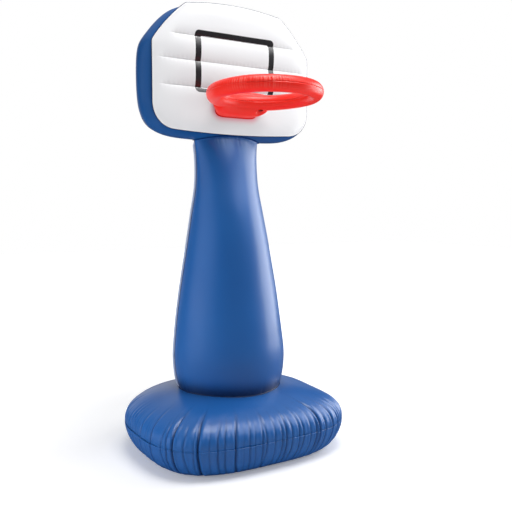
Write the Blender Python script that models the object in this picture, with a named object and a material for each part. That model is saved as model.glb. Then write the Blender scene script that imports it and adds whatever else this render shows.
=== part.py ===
"""Inflatable basketball hoop: a pillow base with a ballast chamber, a tapering column,
a channelled board and an inflated ring, welded from plastic sheet, with push-in valves.

Metres, +Z up. The origin is on the floor under the column, and the ring points to -Y.
Every chamber is made of open sheets that meet at welded seams, as on the real object."""

import math

import bmesh
import bpy
import numpy as np
from mathutils import Matrix, Vector

# Sheet and seams
SHEET = 0.0005
GAP = 0.0003
SEAM_LIP = 0.006

# Base: a pillow with a flat sole and a seam round its side
BASE_HALF_WIDTH = 0.505
BASE_HALF_DEPTH = 0.437
BASE_CENTRE_Y = -0.033
BASE_HEIGHT = 0.301
BASE_SEAM_HEIGHT = 0.138
BASE_SOLE_SHARE = 0.79
BASE_FRONT_POWER = 3.2
BASE_BACK_POWER = 2.35
BASE_CROWN_POWER = 2.5
BASE_SIDE_POWER = 1.75
BASE_TOP_RINGS = 5
BASE_SIDE_RINGS = 5
DIVIDER_SAG = 0.045
DIVIDER_RINGS = 4
DIVIDER_GAP = 0.0015

# Column: round at the foot, flattened where it meets the board
COLUMN_RADIUS = 0.2685
COLUMN_FOOT_RADIUS = 0.2475
COLUMN_FOOT_Y = -0.015
COLUMN_HEAD_Y = 0.002
COLUMN_HEAD_HALF_WIDTH = 0.168
COLUMN_HEAD_HALF_DEPTH = 0.067
COLUMN_SEAM_TURN = math.radians(12)
COLUMN_FRONT_STEPS = 22
COLUMN_BACK_STEPS = 18
COLUMN_HEAD_GAP = 0.0009
# Heights are shares of the column, half-widths and half-depths are shares of its radius
COLUMN_HEIGHT_SHARES = (0.0, 0.025, 0.118, 0.228, 0.373, 0.552, 0.707, 0.834, 0.93, 1.0)
COLUMN_WIDTH_SHARES = (0.922, 0.950, 1.0, 0.972, 0.894, 0.764, 0.655, 0.577, 0.585, 0.626)
COLUMN_DEPTH_SHARES = (0.922, 0.950, 1.0, 0.972, 0.894, 0.764, 0.626, 0.466, 0.350, 0.250)

# Board: two channelled panels, a side wall between them and three inner webs
BOARD_HALF_WIDTH = 0.405
BOARD_BOTTOM = 1.498
BOARD_HEIGHT = 0.579
BOARD_TOP = BOARD_BOTTOM + BOARD_HEIGHT
BOARD_HALF_THICKNESS = 0.080
BOARD_TOP_SAG_SHARE = 0.0984
BOARD_TOP_CORNER_WIDTH_SHARE = 0.395
BOARD_TOP_CORNER_HEIGHT_SHARE = 0.242
BOARD_TOP_CORNER_POWER = 1.15
BOARD_LOW_SAG_SHARE = 0.0328
BOARD_LOW_CORNER_WIDTH_SHARE = 0.247
BOARD_LOW_CORNER_HEIGHT_SHARE = 0.181
BOARD_LOW_CORNER_POWER = 2.2
BOARD_TOP_SPLIT_SHARE = 0.815
BOARD_LOW_SPLIT_SHARE = 0.925
BOARD_CROWN = 0.018
BOARD_WELD_CROWN = 0.003
BOARD_EDGE_POWER = 8
BOARD_TOP_LEAN = 0.030
WALL_BULGE_LOW = 0.034
WALL_BULGE_SIDE = 0.044
WALL_BULGE_TOP = 0.012
TOP_WALL_SHARE = 0.1
WALL_STEPS = 6
WELD_HEIGHT_SHARES = (0.3437, 0.5440, 0.7340)
WELD_HALF_LENGTH_SHARES = (0.852, 0.864, 0.716)
WELD_HEIGHTS = tuple(BOARD_BOTTOM + share * BOARD_HEIGHT for share in WELD_HEIGHT_SHARES)
WELD_HALF_LENGTHS = tuple(share * BOARD_HALF_WIDTH for share in WELD_HALF_LENGTH_SHARES)
WELD_FADE = 0.050
CHANNEL_REACH_SHARE = 0.095
CHANNEL_REACH = CHANNEL_REACH_SHARE * BOARD_HEIGHT
WEB_NAMES = ("lower", "middle", "upper")
WEB_TAB = 0.012
WEB_GAP = 0.0006
BOARD_COLUMNS = 14
VENT_RADIUS = 0.012
VENT_SPACING = 0.080

# Ring: two annular panels with their seams turned in, and a collar that holds it
RING_RADIUS = 0.220
RING_TUBE_RADIUS = 0.035
RING_HEIGHT_SHARE = 0.240
RING_HEIGHT = BOARD_BOTTOM + RING_HEIGHT_SHARE * BOARD_HEIGHT
RING_TILT = math.radians(1.7)
RING_STANDOFF = 0.0015
RING_STEPS = 32
RING_TUBE_STEPS = 6
RING_LIP = 0.004
COLLAR_HALF_WIDTH = 0.112
COLLAR_HALF_HEIGHT = 0.061
COLLAR_DROP = 0.008
COLLAR_CENTRE_HEIGHT = RING_HEIGHT - COLLAR_DROP
COLLAR_POWER = 3.0
COLLAR_REACH = math.radians(30)
COLLAR_TOP_ANGLE = math.radians(104)
COLLAR_LOW_ANGLE = math.radians(122)
COLLAR_STEPS = 36
COLLAR_LIP = 0.005
COLLAR_BULGE = 0.004
COLLAR_GAP = 0.0010

# Push-in air valve: seat, sliding stem, plug on a living hinge, and inner check flap
VALVE_SIDES = 16
SEAT_RADIUS = 0.0120
SEAT_THICKNESS = 0.0010
SEAT_WALL = 0.0014
SEAT_LENGTH = 0.0140
STEM_RADIUS = 0.0063
STEM_BORE = 0.0040
STEM_LENGTH = 0.0255
STEM_RIM_RADIUS = 0.0075
STEM_RIM = 0.0008
STEM_BEAD_RADIUS = 0.0078
STEM_BEAD = 0.0014
PLUG_RADIUS = 0.0072
PLUG_THICKNESS = 0.0012
PLUG_SHANK = 0.0035
PLUG_TAPER = 0.0005
PLUG_HINGE_REACH = 0.0088
PLUG_TONGUE_WIDTH = 0.0040
PLUG_TONGUE_END = 0.0007
FLAP_RADIUS = 0.0056
FLAP_THICKNESS = 0.0007
BASE_VALVE_SIDE_SHARE = 0.333
BASE_VALVE_BACK_SHARE = 0.800
BASE_VALVE_X = -BASE_VALVE_SIDE_SHARE * BASE_HALF_WIDTH
BASE_VALVE_Y = BASE_CENTRE_Y + BASE_VALVE_BACK_SHARE * BASE_HALF_DEPTH
COLUMN_VALVE_STATION = 3
RING_VALVE_TURN = math.radians(26)

# Ballast filler: neck with a flange, hinged cap and a sleeve down to the lower chamber
NECK_SIDES = 16
NECK_X = -BASE_VALVE_X
NECK_Y = BASE_VALVE_Y
NECK_FLANGE_RADIUS = 0.026
NECK_FLANGE = 0.0012
NECK_RADIUS = 0.0165
NECK_BORE = 0.0140
NECK_LENGTH = 0.022
CAP_RADIUS = 0.0180
CAP_THICKNESS = 0.0018
CAP_PLUG_DEPTH = 0.0040
CAP_PLUG_WALL = 0.0016
CAP_PLUG_TAPER = 0.0006
CAP_HINGE_REACH = 0.0205
CAP_TONGUE_WIDTH = 0.0080
CAP_TONGUE_END = 0.0006
SLEEVE_OVERLAP = 0.010
SLEEVE_STEPS = 5

MERGE = 1e-6
OVERRUN = 0.010

BLUE = (0.030, 0.110, 0.400, 1.0)
WHITE = (0.860, 0.870, 0.890, 1.0)
RED = (0.790, 0.040, 0.030, 1.0)
CLEAR_GREY = (0.620, 0.660, 0.720, 1.0)
DARK_RED = (0.300, 0.012, 0.012, 1.0)


def clear_scene():
    for obj in list(bpy.data.objects):
        bpy.data.objects.remove(obj, do_unlink=True)


def material(name, colour, roughness, metallic=0.0):
    made = bpy.data.materials.new(name)
    made.use_nodes = True
    shader = made.node_tree.nodes["Principled BSDF"]
    shader.inputs["Base Color"].default_value = colour
    shader.inputs["Roughness"].default_value = roughness
    shader.inputs["Metallic"].default_value = metallic
    made.diffuse_color = colour
    return made


def add_object(name, mesh, finish=None):
    obj = bpy.data.objects.new(name, mesh)
    bpy.context.scene.collection.objects.link(obj)
    if finish:
        mesh.materials.append(finish)
    return obj


def helper(obj):
    """Marks a cutter or a joined shape as something that isn't a piece itself."""
    obj.hide_render = True
    obj.display_type = "WIRE"
    return obj


def patch_faces(rows, columns, closed):
    """Quads over a grid of points. closed joins the last column to the first."""
    spans = columns if closed else columns - 1
    faces = []
    for i in range(rows - 1):
        for j in range(spans):
            k = (j + 1) % columns
            faces.append((i * columns + j, i * columns + k, (i + 1) * columns + k, (i + 1) * columns + j))
    return faces


def sheet(name, patches, finish, core, caps=(), side=-1.0):
    """A sheet of plastic over one or more grids of points that share their edges.

    patches holds (grid, closed). core is a point, or one point for each column of the first
    grid, that lies on the inner side. caps lists the rows of the first grid that a flat face
    closes. side is -1 where the wall grows inwards from the points, and 0 where it is centred."""
    work = bmesh.new()
    first_rows = []
    for grid, closed in patches:
        rows, columns, _ = grid.shape
        verts = [work.verts.new(point) for point in grid.reshape(-1, 3).tolist()]
        for face in patch_faces(rows, columns, closed):
            work.faces.new([verts[i] for i in face])
        if not first_rows:
            first_rows = [verts[i * columns:(i + 1) * columns] for i in range(rows)]
    for row in caps:
        work.faces.new(first_rows[row])
    bmesh.ops.remove_doubles(work, verts=work.verts, dist=MERGE)
    quads = [face for face in work.faces if len(face.verts) == 4]
    bmesh.ops.triangulate(work, faces=quads, quad_method="SHORT_EDGE")
    bmesh.ops.recalc_face_normals(work, faces=work.faces)
    grid = patches[0][0]
    inner = np.broadcast_to(np.asarray(core, float), grid.shape).reshape(-1, 3)
    outer = grid.reshape(-1, 3)
    work.normal_update()
    facing = 0.0
    for face in work.faces:
        middle = np.array(face.calc_center_median())
        nearest = inner[np.argmin(((outer - middle) ** 2).sum(axis=1))]
        facing += face.calc_area() * float((middle - nearest) @ np.array(face.normal))
    if facing < 0:
        bmesh.ops.reverse_faces(work, faces=work.faces)
    mesh = bpy.data.meshes.new(name)
    work.to_mesh(mesh)
    work.free()
    mesh.shade_smooth()
    mesh.set_sharp_from_angle(angle=math.radians(50))
    obj = add_object(name, mesh, finish)
    wall = obj.modifiers.new("wall", "SOLIDIFY")
    wall.thickness = SHEET
    wall.offset = side
    wall.use_even_offset = True
    return obj


def turned(name, profile, closed, finish, sides, place):
    """A round piece: a profile of (radius, height) turned about its own Z, then placed.

    The profile runs down the outer side. closed joins its end to its start."""
    count = len(profile)
    mesh = bpy.data.meshes.new(name)
    edges = [(i, i + 1) for i in range(count - 1)]
    if closed:
        edges.append((count - 1, 0))
    mesh.from_pydata([(radius, 0.0, height) for radius, height in profile], edges, [])
    obj = add_object(name, mesh, finish)
    obj.matrix_world = place
    screw = obj.modifiers.new("turn", "SCREW")
    screw.steps = sides
    screw.render_steps = sides
    screw.use_merge_vertices = True
    screw.merge_threshold = MERGE
    screw.use_smooth_shade = False
    return obj


def boolean(obj, other, operation):
    cut = obj.modifiers.new(operation.lower(), "BOOLEAN")
    cut.operation = operation
    cut.object = helper(other)
    cut.solver = "EXACT"


def placed(point, normal, lean=(0.0, 0.0, 1.0)):
    """The place of a fitting: its Z along the sheet's normal, its X as near lean as can be."""
    up = Vector(normal).normalized()
    along = Vector(lean) - up * Vector(lean).dot(up)
    along.normalize()
    across = up.cross(along)
    turn = Matrix((along, across, up)).transposed().to_4x4()
    return Matrix.Translation(Vector(point)) @ turn


def surface_normal(surface, u, v, step=1e-4):
    """The upward normal of a surface given as a function of two parameters."""
    along = np.subtract(surface(u + step, v), surface(u - step, v))
    across = np.subtract(surface(u, v + step), surface(u, v - step))
    normal = np.cross(along, across)
    return normal / np.linalg.norm(normal)


def superellipse(angle, half_width, half_depth, power):
    """The point of a rounded rectangle that lies at a polar angle."""
    c, s = np.cos(angle), np.sin(angle)
    reach = (np.abs(c / half_width) ** power + np.abs(s / half_depth) ** power) ** (-1 / power)
    return reach * c, reach * s


# Base

SEAM_STACK = SHEET / 2 + GAP + SHEET


def base_power(forward):
    """The base is squarer in front of its centre than behind it."""
    return np.where(np.asarray(forward) < 0, BASE_FRONT_POWER, BASE_BACK_POWER)


def base_share(x, y):
    """How far a point lies from the base's centre to its outline, from 0 to 1."""
    power = base_power(y - BASE_CENTRE_Y)
    across = np.abs(x / BASE_HALF_WIDTH) ** power
    along = np.abs((y - BASE_CENTRE_Y) / BASE_HALF_DEPTH) ** power
    return np.minimum((across + along) ** (1 / power), 1.0)


def base_top_height(x, y):
    seam = BASE_SEAM_HEIGHT + SEAM_STACK
    share = base_share(x, y)
    return seam + (BASE_HEIGHT - seam) * (1 - share ** BASE_CROWN_POWER) ** (1 / BASE_CROWN_POWER)


def base_top_point(x, y):
    return np.array([x, y, base_top_height(x, y)])


def base_side_height(share):
    seam = BASE_SEAM_HEIGHT - SEAM_STACK
    rise = np.clip((share - BASE_SOLE_SHARE) / (1 - BASE_SOLE_SHARE), 0.0, 1.0)
    return seam * (1 - (1 - rise ** BASE_SIDE_POWER) ** (1 / BASE_SIDE_POWER))


def column_angles():
    """Polar angles round the column: the front panel's, then the back panel's inner ones."""
    half_front = math.pi / 2 + COLUMN_SEAM_TURN
    front = np.linspace(-half_front, half_front, COLUMN_FRONT_STEPS + 1) - math.pi / 2
    half_back = math.pi / 2 - COLUMN_SEAM_TURN
    back = np.linspace(-half_back, half_back, COLUMN_BACK_STEPS + 1) + math.pi / 2
    return front, back


def ring_angles():
    front, back = column_angles()
    return np.concatenate([front, back[1:-1]])


def foot_circle(radius):
    angles = ring_angles()
    x = radius * np.cos(angles)
    y = COLUMN_FOOT_Y + radius * np.sin(angles)
    return np.stack([x, y, base_top_height(x, y)], axis=1)


def base_outline(lip, height):
    angles = ring_angles()
    x, y = superellipse(angles, BASE_HALF_WIDTH, BASE_HALF_DEPTH, base_power(np.sin(angles)))
    length = np.hypot(x, y)
    x = x * (1 + lip / length)
    y = y * (1 + lip / length)
    return np.stack([x, BASE_CENTRE_Y + y, np.full_like(x, height)], axis=1)


def base_top_grid():
    inner = foot_circle(COLUMN_FOOT_RADIUS + SEAM_LIP)
    seam = BASE_SEAM_HEIGHT + SEAM_STACK
    outline = base_outline(0.0, seam)
    rows = [foot_circle(COLUMN_FOOT_RADIUS * share) for share in (0.2, 0.6, 1.0)]
    for k in range(BASE_TOP_RINGS + 1):
        share = math.sin(math.pi / 2 * k / BASE_TOP_RINGS)
        x = inner[:, 0] + share * (outline[:, 0] - inner[:, 0])
        y = inner[:, 1] + share * (outline[:, 1] - inner[:, 1])
        rows.append(np.stack([x, y, base_top_height(x, y)], axis=1))
    rows[-1] = outline
    rows.append(base_outline(SEAM_LIP, seam))
    return np.array(rows)


def base_side_grid():
    seam = BASE_SEAM_HEIGHT - SEAM_STACK
    outline = base_outline(0.0, seam)
    centre = np.array([0.0, BASE_CENTRE_Y, 0.0])
    rows = []
    for k in range(BASE_SIDE_RINGS + 1):
        share = BASE_SOLE_SHARE + (1 - BASE_SOLE_SHARE) * math.sin(math.pi / 2 * k / BASE_SIDE_RINGS)
        row = centre + share * (outline - centre)
        row[:, 2] = base_side_height(share)
        rows.append(row)
    rows[-1] = outline
    rows.append(base_outline(SEAM_LIP, seam))
    return np.array(rows)


def divider_height(share):
    return BASE_SEAM_HEIGHT - DIVIDER_SAG * (1 - share ** 2)


def divider_grid():
    outline = base_outline(0.0, BASE_SEAM_HEIGHT)
    centre = np.array([0.0, BASE_CENTRE_Y, 0.0])
    rows = []
    for k in range(1, DIVIDER_RINGS + 1):
        share = k / DIVIDER_RINGS
        row = centre + share * (outline - centre)
        row[:, 2] = divider_height(share)
        rows.append(row)
    rows.append(base_outline(SEAM_LIP, BASE_SEAM_HEIGHT))
    return np.array(rows)


def build_base(blue, clear):
    inside = np.array([0.0, BASE_CENTRE_Y, BASE_SEAM_HEIGHT])
    top = sheet("base_top_panel", [(base_top_grid(), True)], blue, inside, caps=(0,))
    sheet("base_bottom_panel", [(base_side_grid(), True)], blue, inside, caps=(0,))
    under = np.array([0.0, BASE_CENTRE_Y, 0.0])
    divider = sheet("ballast_divider", [(divider_grid(), True)], clear, under, caps=(0,), side=0.0)
    return top, divider


# Column

def smooth_share(share, shares, values):
    """A smooth curve through the stations, with the slope at each one from its neighbours."""
    shares = np.asarray(shares)
    values = np.asarray(values)
    slopes = np.gradient(values, shares)
    k = int(np.clip(np.searchsorted(shares, share) - 1, 0, len(shares) - 2))
    span = shares[k + 1] - shares[k]
    t = (share - shares[k]) / span
    start = (1 + 2 * t) * (1 - t) ** 2 * values[k] + t * (1 - t) ** 2 * slopes[k] * span
    end = t * t * (3 - 2 * t) * values[k + 1] + t * t * (t - 1) * slopes[k + 1] * span
    return start + end


def board_low_edge(x):
    """Height of the board's lower outline at a distance x from its middle."""
    x = np.abs(x)
    into = (x / BOARD_HALF_WIDTH - 1) / BOARD_LOW_CORNER_WIDTH_SHARE + 1
    into = np.clip(into, 0.0, 1.0)
    corner = 1 - (1 - into ** BOARD_LOW_CORNER_POWER) ** (1 / BOARD_LOW_CORNER_POWER)
    sag = BOARD_LOW_SAG_SHARE * (x / BOARD_HALF_WIDTH) ** 2
    return BOARD_BOTTOM + BOARD_HEIGHT * (sag + BOARD_LOW_CORNER_HEIGHT_SHARE * corner)


def board_top_edge(x):
    """Height of the board's upper outline: a long cut corner that is barely rounded."""
    x = np.abs(x)
    into = (x / BOARD_HALF_WIDTH - 1) / BOARD_TOP_CORNER_WIDTH_SHARE + 1
    into = np.clip(into, 0.0, 1.0)
    corner = 1 - (1 - into ** BOARD_TOP_CORNER_POWER) ** (1 / BOARD_TOP_CORNER_POWER)
    sag = BOARD_TOP_SAG_SHARE * (x / BOARD_HALF_WIDTH) ** 2
    return BOARD_TOP - BOARD_HEIGHT * (sag + BOARD_TOP_CORNER_HEIGHT_SHARE * corner)


def wall_arc(bulge):
    """Radius and half angle of the side wall's arc between the two seams."""
    radius = (BOARD_HALF_THICKNESS ** 2 + bulge ** 2) / (2 * bulge)
    return radius, math.asin(min(1.0, BOARD_HALF_THICKNESS / radius))


def under_board(x, y):
    """Height of the board's lower side wall above a point inside its thickness."""
    radius, half = wall_arc(WALL_BULGE_LOW)
    return board_low_edge(x) - (np.sqrt(radius ** 2 - y ** 2) - radius * math.cos(half))


def column_section(share, angles, lip=0.0):
    """The column's outline at a share of its height, on the level of its axis."""
    half_width = COLUMN_RADIUS * smooth_share(share, COLUMN_HEIGHT_SHARES, COLUMN_WIDTH_SHARES)
    half_depth = COLUMN_RADIUS * smooth_share(share, COLUMN_HEIGHT_SHARES, COLUMN_DEPTH_SHARES)
    if share <= 0:
        half_width = half_depth = COLUMN_FOOT_RADIUS
    if share >= 1:
        half_width, half_depth = COLUMN_HEAD_HALF_WIDTH, COLUMN_HEAD_HALF_DEPTH
    centre = COLUMN_FOOT_Y + share * (COLUMN_HEAD_Y - COLUMN_FOOT_Y)
    x = (half_width + lip) * np.cos(angles)
    y = centre + (half_depth + lip) * np.sin(angles)
    return x, y


def column_row(share, angles, lip=0.0):
    """One row of the column's wall. Its foot follows the base and its head the board."""
    x, y = column_section(share, angles, lip)
    foot_x, foot_y = column_section(0.0, angles)
    head_x, head_y = column_section(1.0, angles, lip)
    low = base_top_height(foot_x, foot_y) + GAP + SHEET
    high = under_board(head_x, head_y) - COLUMN_HEAD_GAP - SHEET
    return np.stack([x, y, low + share * (high - low)], axis=1)


def foot_lip_row(angles):
    """The welded lip round the foot, parallel to the base's sheet below it."""
    rows = []
    for angle in angles:
        x = (COLUMN_FOOT_RADIUS + SEAM_LIP) * math.cos(angle)
        y = COLUMN_FOOT_Y + (COLUMN_FOOT_RADIUS + SEAM_LIP) * math.sin(angle)
        normal = surface_normal(base_top_point, x, y)
        rows.append(base_top_point(x, y) + normal * (GAP + SHEET))
    return np.array(rows)


def column_panel(name, angles, towards_middle, finish):
    rows = [foot_lip_row(angles)]
    rows += [column_row(share, angles) for share in COLUMN_HEIGHT_SHARES]
    rows.append(column_row(1.0, angles, SEAM_LIP))
    grid = np.array(rows)
    centre = np.stack([np.zeros(len(rows)), grid[:, :, 1].mean(axis=1), grid[:, :, 2].mean(axis=1)], axis=1)
    patches = [(grid, False)]
    for column, neighbour, away in ((0, 1, -towards_middle), (-1, -2, towards_middle)):
        tangent = grid[:, neighbour] - grid[:, column]
        tangent /= np.linalg.norm(tangent, axis=1)[:, None]
        grid[:, column] += tangent * (SHEET + GAP / 2)
        outward = np.stack([tangent[:, 1], -tangent[:, 0], np.zeros(len(rows))], axis=1)
        outward *= np.sign(outward[:, 0] * grid[:, column, 0])[:, None]
        wall = grid[2:-2, column]
        patches.append((np.stack([wall, wall + outward[2:-2] * SEAM_LIP]), False))
    core = centre[:, None, :] + np.zeros_like(grid)
    return sheet(name, patches, finish, core)


def build_column(blue):
    front, back = column_angles()
    column_panel("column_front_panel", front, 1, blue)
    return column_panel("column_back_panel", back, 1, blue)


def column_back_point(u, station):
    """A point of the back panel, a turn u from its middle, at one of its stations."""
    angle = np.array([math.pi / 2 + u])
    share = np.interp(station, range(len(COLUMN_HEIGHT_SHARES)), COLUMN_HEIGHT_SHARES)
    return column_row(float(share), angle)[0]


# Board

def board_half_width(height):
    """Half the board's width at a height, read off its two outlines."""
    x = np.linspace(0.0, BOARD_HALF_WIDTH, 400)
    low = np.interp(height, board_low_edge(x), x)
    top = np.interp(-np.asarray(height), -board_top_edge(x), x)
    return np.minimum(np.where(height > board_low_edge(x[-1]), BOARD_HALF_WIDTH, low),
                      np.where(height < board_top_edge(x[-1]), BOARD_HALF_WIDTH, top))


def board_rows():
    """Heights of the rows of a board panel, with three rows inside each channel."""
    low = float(board_low_edge(BOARD_HALF_WIDTH * BOARD_LOW_SPLIT_SHARE))
    top = float(board_top_edge(BOARD_HALF_WIDTH * BOARD_TOP_SPLIT_SHARE))
    first, second, third = WELD_HEIGHTS
    near = CHANNEL_REACH / 4
    rows = [low, (low + first - near) / 2, first - near]
    for start, end in ((first, second), (second, third)):
        rows += [start, start + near, (start + end) / 2, end - near]
    rows += [third, (third + top) / 2, top]
    return np.array(rows)


def channel_dip(height):
    """How deep a weld pulls the panel in, from 1 on a weld to 0 at a channel's middle."""
    away = np.min(np.abs(np.subtract.outer(np.asarray(height, float), WELD_HEIGHTS)), axis=-1)
    rest = np.clip(1 - away / CHANNEL_REACH, 0.0, 1.0)
    return 1 - np.sqrt(1 - rest ** 2)


def weld_hold(x, height):
    """1 along a weld line, fading to 0 past its end."""
    nearest = np.argmin(np.abs(np.subtract.outer(np.asarray(height, float), WELD_HEIGHTS)), axis=-1)
    end = np.asarray(WELD_HALF_LENGTHS)[nearest]
    return np.clip((end + WELD_FADE - np.abs(x)) / WELD_FADE, 0.0, 1.0)


def board_crown(x, height):
    """How far a panel stands out from its seam: a cushion with straight drawn-in welds."""
    middle = (BOARD_TOP + BOARD_BOTTOM) / 2
    half = (BOARD_TOP - BOARD_BOTTOM) / 2
    width = np.maximum(board_half_width(height), MERGE)
    across = np.clip(np.abs(x) / width, 0.0, 1.0)
    low = board_low_edge(x)
    top = board_top_edge(x)
    along = np.clip(np.abs((height - (low + top) / 2) / ((top - low) / 2)), 0.0, 1.0)
    along = np.maximum(along, np.clip(np.abs(height - middle) / half, 0.0, 1.0) ** 2 * along)
    crown = BOARD_CROWN * (1 - across ** BOARD_EDGE_POWER) * (1 - along ** BOARD_EDGE_POWER)
    held = np.minimum(crown, BOARD_WELD_CROWN)
    return crown - (crown - held) * channel_dip(height) * weld_hold(x, height)


def board_plan():
    """The grid of (x, height) that both board panels share."""
    rows = board_rows()
    low, top = rows[0], rows[-1]
    u = np.linspace(-1.0, 1.0, BOARD_COLUMNS + 1)
    low_x = u * BOARD_HALF_WIDTH * BOARD_LOW_SPLIT_SHARE
    top_x = u * BOARD_HALF_WIDTH * BOARD_TOP_SPLIT_SHARE
    plan = []
    for height in rows:
        near_low = np.clip((WELD_HEIGHTS[0] - height) / (WELD_HEIGHTS[0] - low), 0.0, 1.0)
        near_top = np.clip((height - WELD_HEIGHTS[-1]) / (top - WELD_HEIGHTS[-1]), 0.0, 1.0)
        z = height + near_low * (board_low_edge(low_x) - low) + near_top * (board_top_edge(top_x) - top)
        plan.append(np.stack([u * float(board_half_width(height)), z], axis=1))
    return np.array(plan)


def plan_outline(plan):
    """The edge of the grid as one loop, starting at the lower left and going right."""
    return np.concatenate([plan[0, :-1], plan[:-1, -1], plan[-1, :0:-1], plan[:0:-1, 0]])


def loop_normals(loop):
    tangent = np.roll(loop, -1, axis=0) - np.roll(loop, 1, axis=0)
    normal = np.stack([tangent[:, 1], -tangent[:, 0]], axis=1)
    return normal / np.linalg.norm(normal, axis=1)[:, None]


def board_lean(height):
    """How far the back seam leans forward: nothing up to the top weld, then ever more."""
    share = (height - WELD_HEIGHTS[-1]) / (BOARD_TOP - WELD_HEIGHTS[-1])
    return BOARD_TOP_LEAN * np.clip(share, 0.0, 1.0) ** 2


def board_panel(name, forward, finish):
    """forward is -1 for the front panel and 1 for the back one."""
    plan = board_plan()
    x, z = plan[:, :, 0], plan[:, :, 1]
    seam = BOARD_HALF_THICKNESS + GAP / 2 + SHEET
    leans = max(forward, 0)
    level = seam - leans * board_lean(z)
    stand = level + board_crown(x, z)
    for edge in (np.s_[0, :], np.s_[-1, :], np.s_[:, 0], np.s_[:, -1]):
        stand[edge] = level[edge]
    grid = np.stack([x, forward * stand, z], axis=2)
    loop = plan_outline(plan)
    outer = loop + loop_normals(loop) * SEAM_LIP
    lip = np.stack([
        np.stack([line[:, 0], forward * (seam - leans * board_lean(line[:, 1])), line[:, 1]], axis=1)
        for line in (loop, outer)
    ])
    core = grid * np.array([1.0, 0.0, 1.0])
    return sheet(name, [(grid, False), (lip, True)], finish, core)


def build_side_wall(blue):
    loop = plan_outline(board_plan())
    normals = loop_normals(loop)
    flat_top = np.clip((normals[:, 1] - TOP_WALL_SHARE) / (1 - TOP_WALL_SHARE), 0.0, 1.0)
    bulges = WALL_BULGE_LOW + (WALL_BULGE_SIDE - WALL_BULGE_LOW) * normals[:, 0] ** 2
    bulges += (WALL_BULGE_TOP - bulges) * flat_top
    seam = BOARD_HALF_THICKNESS - GAP / 2 - SHEET
    narrow = 1 - board_lean(loop[:, 1]) / (2 * seam)
    rows = []
    lip = loop + normals * SEAM_LIP
    rows.append(np.stack([lip[:, 0], np.full(len(loop), -seam), lip[:, 1]], axis=1))
    for k in range(WALL_STEPS + 1):
        points = []
        for (x, z), (nx, nz), bulge, close in zip(loop, normals, bulges, narrow):
            radius, half = wall_arc(bulge)
            angle = half * (2 * k / WALL_STEPS - 1)
            out = radius * math.cos(angle) - radius * math.cos(half)
            depth = radius * math.sin(angle) * seam / BOARD_HALF_THICKNESS
            points.append((x + nx * out, (depth + seam) * close - seam, z + nz * out))
        rows.append(np.array(points))
    rows.append(np.stack([lip[:, 0], seam - board_lean(lip[:, 1]), lip[:, 1]], axis=1))
    middle = np.array([0.0, 0.0, (BOARD_TOP + BOARD_BOTTOM) / 2])
    wall = sheet("board_side_wall", [(np.array(rows), True)], blue, middle)
    for spot in (-1, 0, 1):
        x = spot * VENT_SPACING
        place = Matrix.Translation((x, 0.0, BOARD_BOTTOM))
        reach = WALL_BULGE_SIDE + OVERRUN
        profile = ((0.0, reach), (VENT_RADIUS, reach), (VENT_RADIUS, -reach), (0.0, -reach))
        boolean(wall, turned(f"vent_{spot + 2}", profile, False, None, VALVE_SIDES, place), "DIFFERENCE")
    return wall


def build_webs(clear):
    for name, height, half in zip(WEB_NAMES, WELD_HEIGHTS, WELD_HALF_LENGTHS):
        reach = BOARD_HALF_THICKNESS + GAP / 2 + BOARD_WELD_CROWN - WEB_GAP
        section = ((-reach, height + WEB_TAB), (-reach, height), (reach, height), (reach, height + WEB_TAB))
        grid = np.array([[(x, y, z) for x in (-half, half)] for y, z in section])
        sheet(f"board_web_{name}", [(grid, False)], clear, (0.0, 0.0, height - WEB_TAB), side=0.0)


# Ring

def ring_centre():
    """The ring's centre: its back clears the board, and its front is tilted up a little."""
    back = -(BOARD_HALF_THICKNESS + GAP / 2 + SHEET + BOARD_CROWN + RING_STANDOFF)
    reach = RING_RADIUS + RING_TUBE_RADIUS
    return np.array([0.0, back - reach * math.cos(RING_TILT), RING_HEIGHT + reach * math.sin(RING_TILT)])


def ring_point(turn, tube_angle, radius=None):
    """turn runs round the ring from its back, tube_angle round the tube from its outside."""
    if radius is None:
        radius = RING_TUBE_RADIUS
    out = RING_RADIUS + radius * np.cos(tube_angle)
    x = out * np.sin(turn)
    y = out * np.cos(turn)
    z = radius * np.sin(tube_angle) + np.zeros_like(x)
    c, s = math.cos(RING_TILT), math.sin(RING_TILT)
    local = np.stack([x, y * c + z * s, -y * s + z * c], axis=-1)
    return local + ring_centre()


def ring_panel(name, side, finish):
    """One of the two annular panels, with its seams turned into the tube."""
    turns = np.linspace(0, 2 * math.pi, RING_STEPS, endpoint=False)
    rows = []
    lift = math.asin(GAP / 2 / RING_TUBE_RADIUS)
    tip = RING_TUBE_RADIUS - RING_LIP
    tip_lift = math.asin(GAP / 2 / tip)
    rows.append(ring_point(turns, np.full(RING_STEPS, side * (math.pi - tip_lift)), tip))
    for k in range(RING_TUBE_STEPS + 1):
        angle = math.pi - lift - (math.pi - 2 * lift) * k / RING_TUBE_STEPS
        rows.append(ring_point(turns, np.full(RING_STEPS, side * angle)))
    rows.append(ring_point(turns, np.full(RING_STEPS, side * tip_lift), tip))
    grid = np.array(rows)
    core = np.broadcast_to(ring_point(turns, np.zeros(RING_STEPS), 0.0), grid.shape)
    return sheet(name, [(grid, True)], finish, core)


def board_front(x, height, clearance):
    stand = BOARD_HALF_THICKNESS + GAP / 2 + SHEET + board_crown(x, height) + clearance
    return np.stack([x, -stand, height], axis=-1)


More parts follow.
